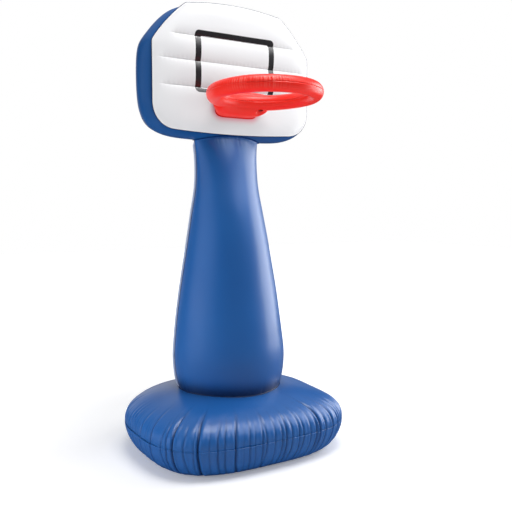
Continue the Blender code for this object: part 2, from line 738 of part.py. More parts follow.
def build_collar(red):
    """The welded collar between the board and the back of the ring, swollen by the air."""
    turn = np.linspace(0, 2 * math.pi, COLLAR_STEPS, endpoint=False)
    c, s = np.cos(turn), np.sin(turn)
    rows = []
    for lip in (COLLAR_LIP, 0.0):
        x, up = superellipse(turn, COLLAR_HALF_WIDTH + lip, COLLAR_HALF_HEIGHT + lip, COLLAR_POWER)
        rows.append(board_front(x, COLLAR_CENTRE_HEIGHT + up, COLLAR_GAP + SHEET))
    lean = (COLLAR_TOP_ANGLE - COLLAR_LOW_ANGLE) / 2
    tube_angle = (COLLAR_TOP_ANGLE - lean) * s + lean * s ** 2
    held = ring_point(COLLAR_REACH * c, tube_angle, RING_TUBE_RADIUS + COLLAR_GAP + SHEET)
    for share in (0.25, 0.5, 0.75):
        between = rows[1] + share * (held - rows[1])
        swell = 4 * share * (1 - share) * COLLAR_BULGE
        outward = np.stack([c, -np.full_like(c, 0.4), s], axis=1)
        rows.append(between + swell * outward)
    rows.append(held)
    grid = np.array(rows)
    core = np.array([0.0, grid[:, :, 1].mean(), RING_HEIGHT])
    sheet("ring_mount_collar", [(grid, True)], red, core)


def build_ring(red):
    ring_panel("ring_upper_panel", 1, red)
    lower = ring_panel("ring_lower_panel", -1, red)
    build_collar(red)
    return lower


# Valves

def cylinder_cutter(name, radius, reach, sides, place):
    profile = ((0.0, reach), (radius, reach), (radius, -reach), (0.0, -reach))
    return turned(name, profile, False, None, sides, place)


def hang(name, place, hinge, *hung):
    """Parents objects placed at place to an empty on a hinge, a point in place's own frame."""
    axis = bpy.data.objects.new(f"{name}_axis", None)
    bpy.context.scene.collection.objects.link(axis)
    axis.empty_display_size = PLUG_RADIUS
    axis.matrix_world = place @ Matrix.Translation(hinge)
    for obj in hung:
        obj.parent = axis
        obj.matrix_basis = Matrix.Translation(-Vector(hinge))


def hinged_cap(name, profile, tongue, finish, sides, place):
    """A round cap joined to a tongue that reaches the hinge.

    tongue is (hinge reach, half width, length past the hinge, underside, top, start)."""
    reach, half_width, past, under, top, start = tongue
    cap = turned(name, profile, False, finish, sides, place)
    work = bmesh.new()
    corners = []
    end = reach + past
    for z in (under, top):
        for x, y in ((start, -half_width), (end, -half_width), (end, half_width), (start, half_width)):
            corners.append(work.verts.new((x, y, z)))
    low, high = corners[:4], corners[4:]
    work.faces.new(low[::-1])
    work.faces.new(high)
    for i in range(4):
        j = (i + 1) % 4
        work.faces.new((low[i], low[j], high[j], high[i]))
    mesh = bpy.data.meshes.new(f"{name}_tongue")
    work.to_mesh(mesh)
    work.free()
    joined = add_object(f"{name}_tongue", mesh)
    boolean(cap, joined, "UNION")
    hang(name, place, (reach, 0.0, (under + top) / 2), cap, joined)


def build_valve(name, panel, place, clear):
    """An air valve in a hole of its panel. place has its Z along the sheet's outward normal."""
    bore = STEM_RADIUS + GAP
    collar = bore + SEAT_WALL
    seat_top = GAP + SEAT_THICKNESS
    hole = cylinder_cutter(f"{name}_hole", collar + GAP, SEAT_LENGTH, VALVE_SIDES, place)
    boolean(panel, hole, "DIFFERENCE")
    seat = (
        (bore, seat_top), (SEAT_RADIUS, seat_top), (SEAT_RADIUS, GAP),
        (collar, GAP), (collar, -SEAT_LENGTH), (bore, -SEAT_LENGTH),
    )
    turned(f"{name}_seat", seat, True, clear, VALVE_SIDES, place)
    rim_low = seat_top + GAP
    rim_top = rim_low + STEM_RIM
    foot = rim_top - STEM_RIM - STEM_LENGTH
    bead = foot + STEM_BEAD
    stem = (
        (STEM_BORE, rim_top), (STEM_RIM_RADIUS, rim_top),
        (STEM_RIM_RADIUS, rim_low), (STEM_RADIUS, rim_low),
        (STEM_RADIUS, bead), (STEM_BEAD_RADIUS, bead),
        (STEM_BEAD_RADIUS, foot), (STEM_BORE, foot),
    )
    turned(f"{name}_stem", stem, True, clear, VALVE_SIDES, place)
    cap_low = rim_top + GAP
    cap_top = cap_low + PLUG_THICKNESS
    shank = STEM_BORE - GAP
    plug = (
        (0.0, cap_top), (PLUG_RADIUS, cap_top), (PLUG_RADIUS, cap_low), (shank, cap_low),
        (shank - PLUG_TAPER, cap_low - PLUG_SHANK), (0.0, cap_low - PLUG_SHANK),
    )
    tongue = (PLUG_HINGE_REACH, PLUG_TONGUE_WIDTH / 2, PLUG_TONGUE_END, cap_low, cap_top, PLUG_RADIUS / 2)
    hinged_cap(f"{name}_plug", plug, tongue, clear, VALVE_SIDES, place)
    flap_top = foot - GAP
    flap_low = flap_top - FLAP_THICKNESS
    flap = ((0.0, flap_top), (FLAP_RADIUS, flap_top), (FLAP_RADIUS, flap_low), (0.0, flap_low))
    leaf = turned(f"{name}_flap", flap, False, clear, VALVE_SIDES, place)
    hang(f"{name}_flap", place, (-FLAP_RADIUS, 0.0, flap_top), leaf)
    return cap_low, flap_top


def report_axis(name, place, plug_level, flap_level):
    """Prints where a valve's slide and its two hinges lie."""
    hinge = place @ Vector((PLUG_HINGE_REACH, 0.0, plug_level + PLUG_THICKNESS / 2))
    flap = place @ Vector((-FLAP_RADIUS, 0.0, flap_level))
    across = place.to_3x3() @ Vector((0.0, 1.0, 0.0))
    along = place.to_3x3() @ Vector((0.0, 0.0, 1.0))
    lines = (("slide axis", along), ("hinge axis", across), ("plug hinge", hinge), ("flap hinge", flap))
    for words, vector in lines:
        print(name, words, " ".join(f"{value:.6f}" for value in vector))


def build_ballast(top, divider, clear):
    normal = surface_normal(base_top_point, NECK_X, NECK_Y)
    place = placed(base_top_point(NECK_X, NECK_Y), normal)
    hole = cylinder_cutter("neck_hole", NECK_RADIUS + GAP, NECK_LENGTH, NECK_SIDES, place)
    boolean(top, hole, "DIFFERENCE")
    rim = GAP + NECK_FLANGE
    neck = (
        (NECK_BORE, rim), (NECK_FLANGE_RADIUS, rim), (NECK_FLANGE_RADIUS, GAP),
        (NECK_RADIUS, GAP), (NECK_RADIUS, -NECK_LENGTH), (NECK_BORE, -NECK_LENGTH),
    )
    turned("ballast_filler_neck", neck, True, clear, NECK_SIDES, place)
    low = rim + GAP
    high = low + CAP_THICKNESS
    plug = NECK_BORE - GAP
    plug_end = plug - CAP_PLUG_TAPER
    plug_inside = plug_end - CAP_PLUG_WALL
    plug_low = low - CAP_PLUG_DEPTH
    cap = (
        (0.0, high), (CAP_RADIUS, high), (CAP_RADIUS, low), (plug, low),
        (plug_end, plug_low), (plug_inside, plug_low), (plug_inside, low), (0.0, low),
    )
    tongue = (CAP_HINGE_REACH, CAP_TONGUE_WIDTH / 2, CAP_TONGUE_END, low, high, CAP_RADIUS / 2)
    hinged_cap("ballast_filler_cap", cap, tongue, clear, NECK_SIDES, place)
    hinge = place @ Vector((CAP_HINGE_REACH, 0.0, (low + high) / 2))
    across = place.to_3x3() @ Vector((0.0, 1.0, 0.0))
    for words, vector in (("hinge axis", across), ("cap hinge", hinge)):
        print("ballast_filler", words, " ".join(f"{value:.6f}" for value in vector))
    build_sleeve(place, divider, clear)


def build_sleeve(place, divider, clear):
    """A soft sleeve from the neck, bending down to a hole in the divider."""
    radius = NECK_RADIUS + GAP + SHEET
    start = np.array(place @ Vector((0.0, 0.0, -(NECK_LENGTH - SLEEVE_OVERLAP))))
    leave = np.array(place @ Vector((0.0, 0.0, -NECK_LENGTH)))
    into = leave - start
    bend = leave + into * 2
    foot = np.array([bend[0], bend[1], float(divider_height(base_share(bend[0], bend[1])))])
    path = [start]
    for k in range(SLEEVE_STEPS + 1):
        t = k / SLEEVE_STEPS
        path.append((1 - t) ** 2 * leave + 2 * t * (1 - t) * bend + t * t * foot)
    path = np.array(path)
    tangent = np.gradient(path, axis=0)
    tangent /= np.linalg.norm(tangent, axis=1)[:, None]
    tangent[-1] = (0.0, 0.0, -1.0)
    side = np.array(place.to_3x3() @ Vector((0.0, 1.0, 0.0)))
    angles = np.linspace(0, 2 * math.pi, NECK_SIDES, endpoint=False)
    rows = []
    for point, along in zip(path, tangent):
        across = side - along * (side @ along)
        across /= np.linalg.norm(across)
        other = np.cross(along, across)
        rows.append(point + radius * (np.outer(np.cos(angles), across) + np.outer(np.sin(angles), other)))
    ends = rows[-1]
    ends[:, 2] = divider_height(base_share(ends[:, 0], ends[:, 1])) + DIVIDER_GAP
    grid = np.array(rows)
    sheet("ballast_filler_sleeve", [(grid, True)], clear, path[:, None, :] + np.zeros_like(grid))
    hole = Matrix.Translation(Vector(foot))
    boolean(divider, cylinder_cutter("divider_hole", NECK_BORE, OVERRUN, NECK_SIDES, hole), "DIFFERENCE")


def main():
    clear_scene()
    blue = material("blue_sheet", BLUE, 0.32)
    white = material("white_sheet", WHITE, 0.35)
    red = material("red_sheet", RED, 0.30)
    clear = material("clear_grey_plastic", CLEAR_GREY, 0.35)
    dark_red = material("dark_red_plastic", DARK_RED, 0.30)

    top, divider = build_base(blue, clear)
    back = build_column(blue)
    board_panel("board_front_panel", -1, white)
    board_panel("board_back_panel", 1, blue)
    build_side_wall(blue)
    build_webs(clear)
    lower = build_ring(red)

    normal = surface_normal(base_top_point, BASE_VALVE_X, BASE_VALVE_Y)
    place = placed(base_top_point(BASE_VALVE_X, BASE_VALVE_Y), normal)
    report_axis("base_valve", place, *build_valve("base_valve", top, place, clear))

    point = column_back_point(0.0, COLUMN_VALVE_STATION)
    normal = surface_normal(column_back_point, 0.0, COLUMN_VALVE_STATION)
    place = placed(point, normal * np.sign(normal[1]))
    report_axis("column_valve", place, *build_valve("column_valve", back, place, clear))

    point = ring_point(np.array(RING_VALVE_TURN), np.array(-math.pi / 2))
    core = ring_point(np.array(RING_VALVE_TURN), np.array(0.0), 0.0)
    place = placed(point, point - core, lean=ring_centre() - core)
    report_axis("ring_valve", place, *build_valve("ring_valve", lower, place, dark_red))

    build_ballast(top, divider, clear)
    bpy.context.view_layer.update()


main()
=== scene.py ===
import math

import bpy
import numpy as np
from mathutils import Euler, Matrix, Vector


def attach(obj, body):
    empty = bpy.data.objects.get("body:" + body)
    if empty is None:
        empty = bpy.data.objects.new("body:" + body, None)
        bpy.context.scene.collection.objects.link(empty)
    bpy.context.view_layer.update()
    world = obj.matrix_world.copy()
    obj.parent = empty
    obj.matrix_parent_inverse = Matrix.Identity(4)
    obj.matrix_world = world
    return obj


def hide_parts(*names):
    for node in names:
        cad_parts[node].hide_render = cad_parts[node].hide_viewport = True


# Inflatable basketball hoop: the looks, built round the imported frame.
# Metres, +Z up, the ring towards -Y.

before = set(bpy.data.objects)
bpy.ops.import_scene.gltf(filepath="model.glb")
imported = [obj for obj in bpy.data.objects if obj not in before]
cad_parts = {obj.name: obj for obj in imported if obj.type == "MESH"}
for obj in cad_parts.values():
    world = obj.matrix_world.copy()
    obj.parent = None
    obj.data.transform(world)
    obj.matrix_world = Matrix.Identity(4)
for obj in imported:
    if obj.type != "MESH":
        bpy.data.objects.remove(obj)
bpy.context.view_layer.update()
print("frame loaded")


# Sheets from grids of points

sheet = {
    "thickness": 0.0005,
    "gap": 0.0003,  # between two welded sheets
    "lip": 0.0060,  # how far a flat seam stands out
    "lipStart": 0.0008,
}


def ramp(value):
    # the value held between 0 and 1
    return np.clip(value, 0.0, 1.0)


def bell(offset, power=2):
    # 1 at no offset, 1/e at an offset of 1 and nothing far away
    return np.exp(-np.abs(offset) ** power)


def wrapped(value, period):
    # the value less whole periods, so that it lies within half a period of nothing
    return (value + period / 2) % period - period / 2


def unit(vectors):
    # each vector over its own length
    return vectors / np.maximum(np.linalg.norm(vectors, axis=-1, keepdims=True), 1e-12)


def smoothed(loop, times):
    # a closed loop of points, each averaged with its two neighbours, so many times
    for _ in range(times):
        loop = (np.roll(loop, 1, axis=0) + loop + np.roll(loop, -1, axis=0)) / 3
    return loop


def superellipse(angles, halfWidth, halfDepth, power):
    # the point at each polar angle for which |x / a| ^ p + |y / b| ^ p is 1
    c, s = np.cos(angles), np.sin(angles)
    reach = (np.abs(c / halfWidth) ** power + np.abs(s / halfDepth) ** power) ** (-1 / power)
    return reach * c, reach * s


def outwardNormals(grid, closed, core):
    # the cross product of the grid's two directions, turned so that most point away from the core
    down = np.gradient(grid, axis=0)
    if closed:
        along = (np.roll(grid, -1, axis=1) - np.roll(grid, 1, axis=1)) / 2
    else:
        along = np.gradient(grid, axis=1)
    normal = unit(np.cross(along, down))
    return -normal if ((grid - core) * normal).sum() < 0 else normal


def edgeLoop(grid):
    # the four sides of a grid, one after the other
    return np.concatenate([grid[0, :-1], grid[:-1, -1], grid[-1, :0:-1], grid[:0:-1, 0]])


def addObject(name, data):
    # an object in the scene's own collection
    made = bpy.data.objects.new(name, data)
    bpy.context.scene.collection.objects.link(made)
    return made


def sheetPiece(name, grid, closed, core, pole=None, masks=None, skirt=()):
    # a mesh over a grid of points, wound so that it faces away from the core, with a fan
    # to a pole where its first row closes, a skirt of loops round it, and a wall grown inwards
    rows, columns, _ = grid.shape
    index = np.arange(rows * columns).reshape(rows, columns)
    nextIndex = np.roll(index, -1, axis=1)
    spans = columns if closed else columns - 1
    quads = np.stack([
        index[:-1, :spans], nextIndex[:-1, :spans], nextIndex[1:, :spans], index[1:, :spans],
    ], axis=-1).reshape(-1, 4)
    points = grid.reshape(-1, 3)
    corners = points[quads]
    face = np.cross(corners[:, 2] - corners[:, 0], corners[:, 3] - corners[:, 1])
    inner = np.broadcast_to(core, grid.shape).reshape(-1, 3)[quads[:, 0]]
    flip = ((corners.mean(axis=1) - inner) * face).sum() < 0
    fan = np.zeros((0, 3), int)
    if pole is not None:
        points = np.vstack([points, pole])
        tip = np.full(columns, len(points) - 1)
        fan = np.stack([tip, nextIndex[0], index[0]], axis=-1)
    inside = edgeLoop(index)
    for loop in skirt:
        outside = len(points) + np.arange(len(loop))
        points = np.vstack([points, loop])
        band = np.stack([np.roll(inside, -1), inside, outside, np.roll(outside, -1)], axis=-1)
        quads = np.vstack([quads, band])
        inside = outside
    if flip:
        quads, fan = quads[:, ::-1], fan[:, ::-1]
    mesh = bpy.data.meshes.new(name)
    mesh.from_pydata(points, [], [*quads.tolist(), *fan.tolist()])
    mesh.validate()
    mesh.shade_smooth()
    for key, values in (masks or {}).items():
        layer = mesh.attributes.new(key, "FLOAT", "POINT")
        flat = np.full(len(points), 1.0 if skirt and key == "weld" else 0.0)
        flat[:rows * columns] = np.broadcast_to(values, (rows, columns)).ravel()
        layer.data.foreach_set("value", flat)
    piece = addObject(name, mesh)
    wall = piece.modifiers.new("wall", "SOLIDIFY")
    wall.thickness = sheet["thickness"]
    wall.offset = -1
    return piece


def settle(piece, finish, node):
    # the piece takes its material, rides on the hoop and stands for its CAD node
    piece.data.materials.append(finish)
    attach(piece, "hoop_body")
    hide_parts(node)


def softWaves(points, seed, length):
    # a smooth random field between about -1 and 1: a sum of sine waves in random directions
    draw = np.random.default_rng(seed)
    field = np.zeros(points.shape[:-1])
    count = 9
    for _ in range(count):
        heading = draw.normal(size=3)
        heading /= np.linalg.norm(heading)
        size = length * draw.uniform(0.6, 1.6)
        field += np.sin(points @ heading * math.tau / size + draw.uniform(0, math.tau))
    return field / math.sqrt(count)


def smoothStations(share, stations, values):
    # Hermite curve through the stations, with each slope from its two neighbours
    stations, values = np.array(stations), np.array(values)
    slopes = np.gradient(values, stations)
    k = np.clip(np.searchsorted(stations, share) - 1, 0, len(stations) - 2)
    span = stations[k + 1] - stations[k]
    t = (share - stations[k]) / span
    start = (1 + 2 * t) * (1 - t) ** 2 * values[k] + t * (1 - t) ** 2 * slopes[k] * span
    end = t * t * (3 - 2 * t) * values[k + 1] + t * t * (t - 1) * slopes[k + 1] * span
    return start + end


# Materials

def feed(tree, socket, value):
    # a socket takes another node's output, a colour of three values, or its own kind of value
    if isinstance(value, bpy.types.NodeSocket):
        tree.links.new(value, socket)
    else:
        socket.default_value = (*value, 1.0) if socket.type == "RGBA" else value


def feedAll(tree, node, inputs):
    # each named input of a node takes its value
    for key, value in inputs.items():
        feed(tree, node.inputs[key], value)


def addNode(tree, kind, inputs=None, **settings):
    # a shader node with its settings, then its inputs by name or number
    node = tree.nodes.new("ShaderNode" + kind)
    for key, value in settings.items():
        setattr(node, key, value)
    feedAll(tree, node, inputs or {})
    return node


def calc(tree, operation, *values, clamp=False):
    # an arithmetic node on two or three sockets or numbers
    return addNode(tree, "Math", dict(enumerate(values)), operation=operation, use_clamp=clamp).outputs[0]


def mixColour(tree, factor, a, b):
    # (1 - factor) a + factor b for two colours
    return addNode(tree, "Mix", {0: factor, 6: a, 7: b}, data_type="RGBA").outputs[2]


def mixValue(tree, factor, a, b):
    # the same for two numbers
    return addNode(tree, "Mix", {0: factor, 2: a, 3: b}).outputs[0]


def newGroup(name, numbers, results):
    # a node group that takes coordinates and named numbers, and puts out named numbers
    group = bpy.data.node_groups.new(name, "ShaderNodeTree")
    group.interface.new_socket(name="Coordinates", in_out="INPUT", socket_type="NodeSocketVector")
    for label, value in numbers.items():
        socket = group.interface.new_socket(name=label, in_out="INPUT", socket_type="NodeSocketFloat")
        socket.default_value = value
    for label in results:
        group.interface.new_socket(name=label, in_out="OUTPUT", socket_type="NodeSocketFloat")
    return group, group.nodes.new("NodeGroupInput").outputs, group.nodes.new("NodeGroupOutput").inputs


grain = {
    "tone": (3.2, 2.0, 0.5), "scuff": (42.0, 4.0, 0.65),  # scale, detail and roughness of a noise
    "stretch": (1.5, 0.4), "grain": (2.0, 0.5),  # detail and roughness
    "fine": 0.012,  # height of the grain beside the stretch waves
}


def sheetGrainGroup():
    # calendered sheet: fine grain, soft stretch waves and a slow change of tone
    group, start, end = newGroup("sheetGrain", {"Grain": 900.0, "Stretch": 14.0, "Waves": 1.0},
                                 ("Height", "Tone", "Scuff"))

    def noise(scale, detail, rough):
        return addNode(group, "TexNoise", {"Vector": start["Coordinates"], "Scale": scale,
                                           "Detail": detail, "Roughness": rough}).outputs["Fac"]

    waves = noise(start["Stretch"], *grain["stretch"])
    fine = calc(group, "MULTIPLY", noise(start["Grain"], *grain["grain"]), grain["fine"])
    feed(group, end["Height"], calc(group, "MULTIPLY_ADD", waves, start["Waves"], fine))
    feed(group, end["Tone"], noise(*grain["tone"]))
    feed(group, end["Scuff"], noise(*grain["scuff"]))
    return group


def roundedBoxGroup():
    # signed distance to a rounded rectangle in X and Z: negative inside it
    group, start, end = newGroup(
        "roundedBox", {"Centre Height": 0.0, "Half Width": 0.1, "Half Height": 0.1, "Corner": 0.01},
        ("Distance",))
    axes = addNode(group, "SeparateXYZ", {0: start["Coordinates"]}).outputs

    def beyond(value, half):
        inset = calc(group, "SUBTRACT", half, start["Corner"])
        return calc(group, "SUBTRACT", calc(group, "ABSOLUTE", value), inset)

    across = beyond(axes["X"], start["Half Width"])
    lift = calc(group, "SUBTRACT", axes["Z"], start["Centre Height"])
    along = beyond(lift, start["Half Height"])
    squares = [calc(group, "POWER", calc(group, "MAXIMUM", side, 0.0), 2.0) for side in (across, along)]
    outside = calc(group, "SQRT", calc(group, "ADD", *squares))
    inside = calc(group, "MINIMUM", calc(group, "MAXIMUM", across, along), 0.0)
    total = calc(group, "SUBTRACT", calc(group, "ADD", outside, inside), start["Corner"])
    feed(group, end["Distance"], total)
    return group


grainGroup = sheetGrainGroup()
boxGroup = roundedBoxGroup()

# the printed square: its outside, its bars and its two corners
square = {
    "halfWidth": 0.208, "low": 1.674, "high": 1.950,
    "side": 0.029, "top": 0.025, "bottom": 0.018,
    "corner": 0.020, "inner": 0.008,
    "blur": 0.0006,
}

# painted light: the red glow that the ring's tab throws on the white sheet round it
paintedBounce = {
    "colour": (1.0, 0.22, 0.32), "level": 0.90, "reach": 0.040,
    "height": 1.6290, "halfWidth": 0.107, "halfHeight": 0.056, "corner": 0.030,
}


# what the sheets share, unless a sheet says otherwise
vinyl = {
    "roughness": 0.35, "scuff": 0.08, "stretch": 9.0, "waves": 0.6, "bump": 0.0010, "specular": 0.42,
    "coat": 0.18, "coatRoughness": 0.20, "weldMatt": 0.95, "weldRough": 0.10,
}


def boxDistance(tree, coordinates, height, halfWidth, halfHeight, corner):
    inputs = {"Coordinates": coordinates, "Centre Height": height, "Half Width": halfWidth,
              "Half Height": halfHeight, "Corner": corner}
    return addNode(tree, "Group", inputs, node_tree=boxGroup).outputs["Distance"]


def printedBand(tree, coordinates):
    # 1 between two rounded rectangles: outside the inner one and inside the outer one
    edges = []
    for side, bottom, top, corner in (
            (0.0, 0.0, 0.0, square["corner"]),
            (square["side"], square["bottom"], square["top"], square["inner"])):
        low, high = square["low"] + bottom, square["high"] - top
        distance = boxDistance(tree, coordinates, (low + high) / 2, square["halfWidth"] - side,
                               (high - low) / 2, corner)
        edges.append(calc(tree, "MULTIPLY_ADD", distance, 1 / square["blur"], 0.5, clamp=True))
    return calc(tree, "MULTIPLY", calc(tree, "SUBTRACT", 1.0, edges[0]), edges[1])


def addPaintedBounce(tree, coordinates, under):
    # painted light from the tab: its colour, falling by the square of the distance from a rounded rectangle
    distance = boxDistance(tree, coordinates, paintedBounce["height"], paintedBounce["halfWidth"],
                           paintedBounce["halfHeight"], paintedBounce["corner"])
    near = calc(tree, "MULTIPLY_ADD", distance, -1 / paintedBounce["reach"], 1.0, clamp=True)
    share = calc(tree, "MULTIPLY", calc(tree, "POWER", near, 2.0), paintedBounce["level"])
    return mixColour(tree, share, under, paintedBounce["colour"])


def newMaterial(name):
    made = bpy.data.materials.new(name)
    made.use_nodes = True
    return made, made.node_tree, made.node_tree.nodes["Principled BSDF"]


def bumpNormal(tree, height, distance):
    return addNode(tree, "Bump", {"Height": height, "Distance": distance}).outputs["Normal"]


def plasticSheet(name, look):
    # soft vinyl sheet: its colour drifts a little and turns to others by the masks of its points,
    # which paint darker seams, shade and highlights on it; its welds are matt and its gloss is uneven
    look = {**vinyl, **look}
    made, tree, shader = newMaterial(name)
    place = addNode(tree, "TexCoord").outputs["Object"]
    inputs = {"Coordinates": place, "Stretch": look["stretch"], "Waves": look["waves"]}
    drift = addNode(tree, "Group", inputs, node_tree=grainGroup).outputs
    colour = mixColour(tree, drift["Tone"], look["deep"], look["light"])
    masks = {key: addNode(tree, "Attribute", attribute_name=key).outputs["Fac"]
             for key in ("weld", "shade", "paintedHighlight") if key in look}
    for key, mask in masks.items():
        colour = mixColour(tree, mask, colour, look[key])
    if "bounce" in look:
        # a diffuse ray sees a duller sheet, so that it tints its neighbours less
        light = addNode(tree, "LightPath").outputs
        colour = mixColour(tree, light["Is Diffuse Ray"], colour, look["bounce"])
    least = look["roughness"] - look["scuff"] / 2
    rough = calc(tree, "MULTIPLY_ADD", drift["Scuff"], look["scuff"], least)
    rough = calc(tree, "MULTIPLY_ADD", masks["weld"], look["weldRough"], rough)
    free = calc(tree, "MULTIPLY_ADD", masks["weld"], -look["weldMatt"], 1.0)
    coat = calc(tree, "MULTIPLY", free, look["coat"])
    if "ink" in look:
        # painted red light from the ring's tab on the white sheet
        colour = addPaintedBounce(tree, place, colour)
        band = printedBand(tree, place)
        colour = mixColour(tree, band, colour, look["ink"])
        rough = mixValue(tree, band, rough, look["inkRoughness"])
        coat = mixValue(tree, band, coat, look["inkCoat"])
    feedAll(tree, shader, {
        "Base Color": colour, "Roughness": rough, "Coat Weight": coat,
        "Coat Roughness": look["coatRoughness"],
        "Specular IOR Level": calc(tree, "MULTIPLY", free, look["specular"]),
        "Normal": bumpNormal(tree, drift["Height"], look["bump"])})
    if "paintedGlow" in look:
        # painted light: the sheet glows a little in its own colour, a stand-in for light coming through it
        # from its far side
        feedAll(tree, shader, {"Emission Color": colour, "Emission Strength": look["paintedGlow"]})
    made.diffuse_color = (*look["light"], 1.0)
    return made


# the weld colours of the blue sheets darken their seams: partly the welds' own look, partly painted shade of
# the creases they lie in; the shade colour is painted shade, the pale colour a painted highlight
blueSheet = plasticSheet("bluePvc", {
    "deep": (0.010, 0.089, 0.326), "light": (0.014, 0.120, 0.396), "weld": (0.006, 0.036, 0.155),
    "shade": (0.003, 0.013, 0.060), "paintedHighlight": (0.50, 0.58, 0.76),
})
# a darker copy of the blue sheet: painted shade for the board's side wall and the ballast divider
shadedBlueSheet = plasticSheet("bluePvcShaded", {
    "deep": (0.005, 0.064, 0.232), "light": (0.008, 0.083, 0.280), "weld": (0.004, 0.018, 0.080),
    "shade": (0.003, 0.013, 0.060), "roughness": 0.38, "specular": 0.24, "coat": 0.08,
})
whiteSheet = plasticSheet("whitePvcPrinted", {
    "deep": (0.868, 0.878, 0.897), "light": (0.890, 0.897, 0.912), "weld": (0.900, 0.905, 0.915),
    "ink": (0.016, 0.015, 0.018), "inkRoughness": 0.28, "inkCoat": 1.0,
    "roughness": 0.40, "scuff": 0.06, "waves": 0.5, "specular": 0.2,
    "coat": 0.0, "coatRoughness": 0.26, "weldMatt": 0.0,
})
redSheet = plasticSheet("redPvc", {
    "deep": (0.800, 0.014, 0.007), "light": (0.850, 0.022, 0.012), "weld": (0.600, 0.010, 0.010),
    "paintedHighlight": (1.0, 0.36, 0.30), "bounce": (0.28, 0.08, 0.08), "paintedGlow": 0.14,
    "roughness": 0.32, "scuff": 0.05, "stretch": 14.0, "waves": 0.2, "bump": 0.0008, "specular": 0.34,
    "coat": 0.0, "coatRoughness": 0.03, "weldMatt": 0.6,
})


hardPlastic = {"grain": 1600.0, "stretch": 120.0, "waves": 0.15, "scuff": 0.12, "bump": 0.0004}


def mouldedPlastic(name, deep, light, roughness):
    # harder plastic of the valves: a finer grain and an even gloss
    made, tree, shader = newMaterial(name)
    inputs = {"Coordinates": addNode(tree, "TexCoord").outputs["Object"], "Grain": hardPlastic["grain"],
              "Stretch": hardPlastic["stretch"], "Waves": hardPlastic["waves"]}
    drift = addNode(tree, "Group", inputs, node_tree=grainGroup).outputs
    feedAll(tree, shader, {
        "Base Color": mixColour(tree, drift["Tone"], deep, light),
        "Roughness": calc(tree, "MULTIPLY_ADD", drift["Scuff"], hardPlastic["scuff"], roughness),
        "Normal": bumpNormal(tree, drift["Height"], hardPlastic["bump"])})
    return made


clearPlastic = mouldedPlastic("milkyPlastic", (0.50, 0.56, 0.64), (0.62, 0.67, 0.74), 0.22)
darkRedPlastic = mouldedPlastic("darkRedPlastic", (0.210, 0.008, 0.010), (0.330, 0.014, 0.014), 0.20)


# Base: a pillow whose side is gathered into creases

base = {
    "halfWidth": 0.505, "halfDepth": 0.437, "centreY": -0.033, "height": 0.301,
    "seamHeight": 0.138,
    "seamSlit": 0.0001,  # half the slit between the two panels' edges
    "soleShare": 0.79, "frontPower": 3.2, "backPower": 2.35, "crownPower": 2.5,
    "sidePower": 1.75, "around": 1100, "rowsTop": 36, "rowsSide": 32, "footInset": 0.004,
    "footCalm": (0.012, 0.06),  # where the creases begin round the column, and over what length
    "swell": (5, 0.34, 0.0022),  # seed, wave length and height
    "creaseSeed": 11, "creaseGain": 1.35, "creaseShade": 0.75, "shadeDepth": 0.007,
    "spareCreases": 70, "spareRoom": 0.014, "spareDepth": (0.0008, 0.0038),
    "creaseWidth": (0.0030, 0.0046), "creaseReach": 0.078, "reachSpread": (-0.012, 0.024),
    "sideReach": 1.9, "slant": 0.06,
    "wander": (0.0012, 42),  # how far a crease strays, and its waves per metre times 2 pi
    "bank": 0.34, "bankAt": 2.4, "bankWidth": 1.5,  # height, place and width, in valleys
    "depthWidens": 0.25, "depthReaches": 8.0, "seamWidth": 0.75, "widens": 0.7,
    "dividerSag": 0.045, "dividerRows": 16, "dividerShares": (0.04, 0.992),
    "fittingSide": 0.333, "fittingBack": 0.800, "fittingReach": 0.036,
    "fittingSink": 0.0008,
    # degrees round the base and depth in mm of the creases that stand out in front
    "creases": (
        (178.7, 2.0), (189.5, 3.0), (200.1, 4.0), (208.0, 2.5), (214.2, 7.0), (219.9, 2.5), (226.3, 8.0),
        (235.3, 3.5), (238.5, 3.0), (243.9, 5.5), (251.8, 2.5), (259.4, 3.5), (262.1, 3.0), (267.6, 2.0),
        (275.5, 4.0), (279.6, 3.0), (284.4, 3.0), (287.5, 3.0), (292.1, 2.0), (296.2, 4.0), (298.7, 7.0),
        (302.8, 3.0), (308.7, 5.0), (313.5, 4.0), (318.0, 3.5), (323.0, 3.0),
    ),
}


def basePower(forward):
    # the plan is squarer in front of its centre than behind it
    return np.where(forward < 0, base["frontPower"], base["backPower"])


def baseTopHeight(x, y):
    # a superelliptic dome over the share of the way from the middle to the outline
    power = basePower(y - base["centreY"])
    across = np.abs(x / base["halfWidth"]) ** power
    along = np.abs((y - base["centreY"]) / base["halfDepth"]) ** power
    share = np.minimum((across + along) ** (1 / power), 1.0)
    low = base["seamHeight"] + sheet["thickness"] * 1.5 + sheet["gap"]
    crown = base["crownPower"]
    return low + (base["height"] - low) * (1 - share ** crown) ** (1 / crown)


def baseOutline(angles):
    # the superellipse's point at each polar angle, about the base's centre
    return superellipse(angles, base["halfWidth"], base["halfDepth"], basePower(np.sin(angles)))


def outlineLengths():
    # fine polar angles and the length along the outline up to each
    fine = np.linspace(0, math.tau, 7201)
    x, y = baseOutline(fine)
    return fine, np.concatenate([[0], np.cumsum(np.hypot(np.diff(x), np.diff(y)))])


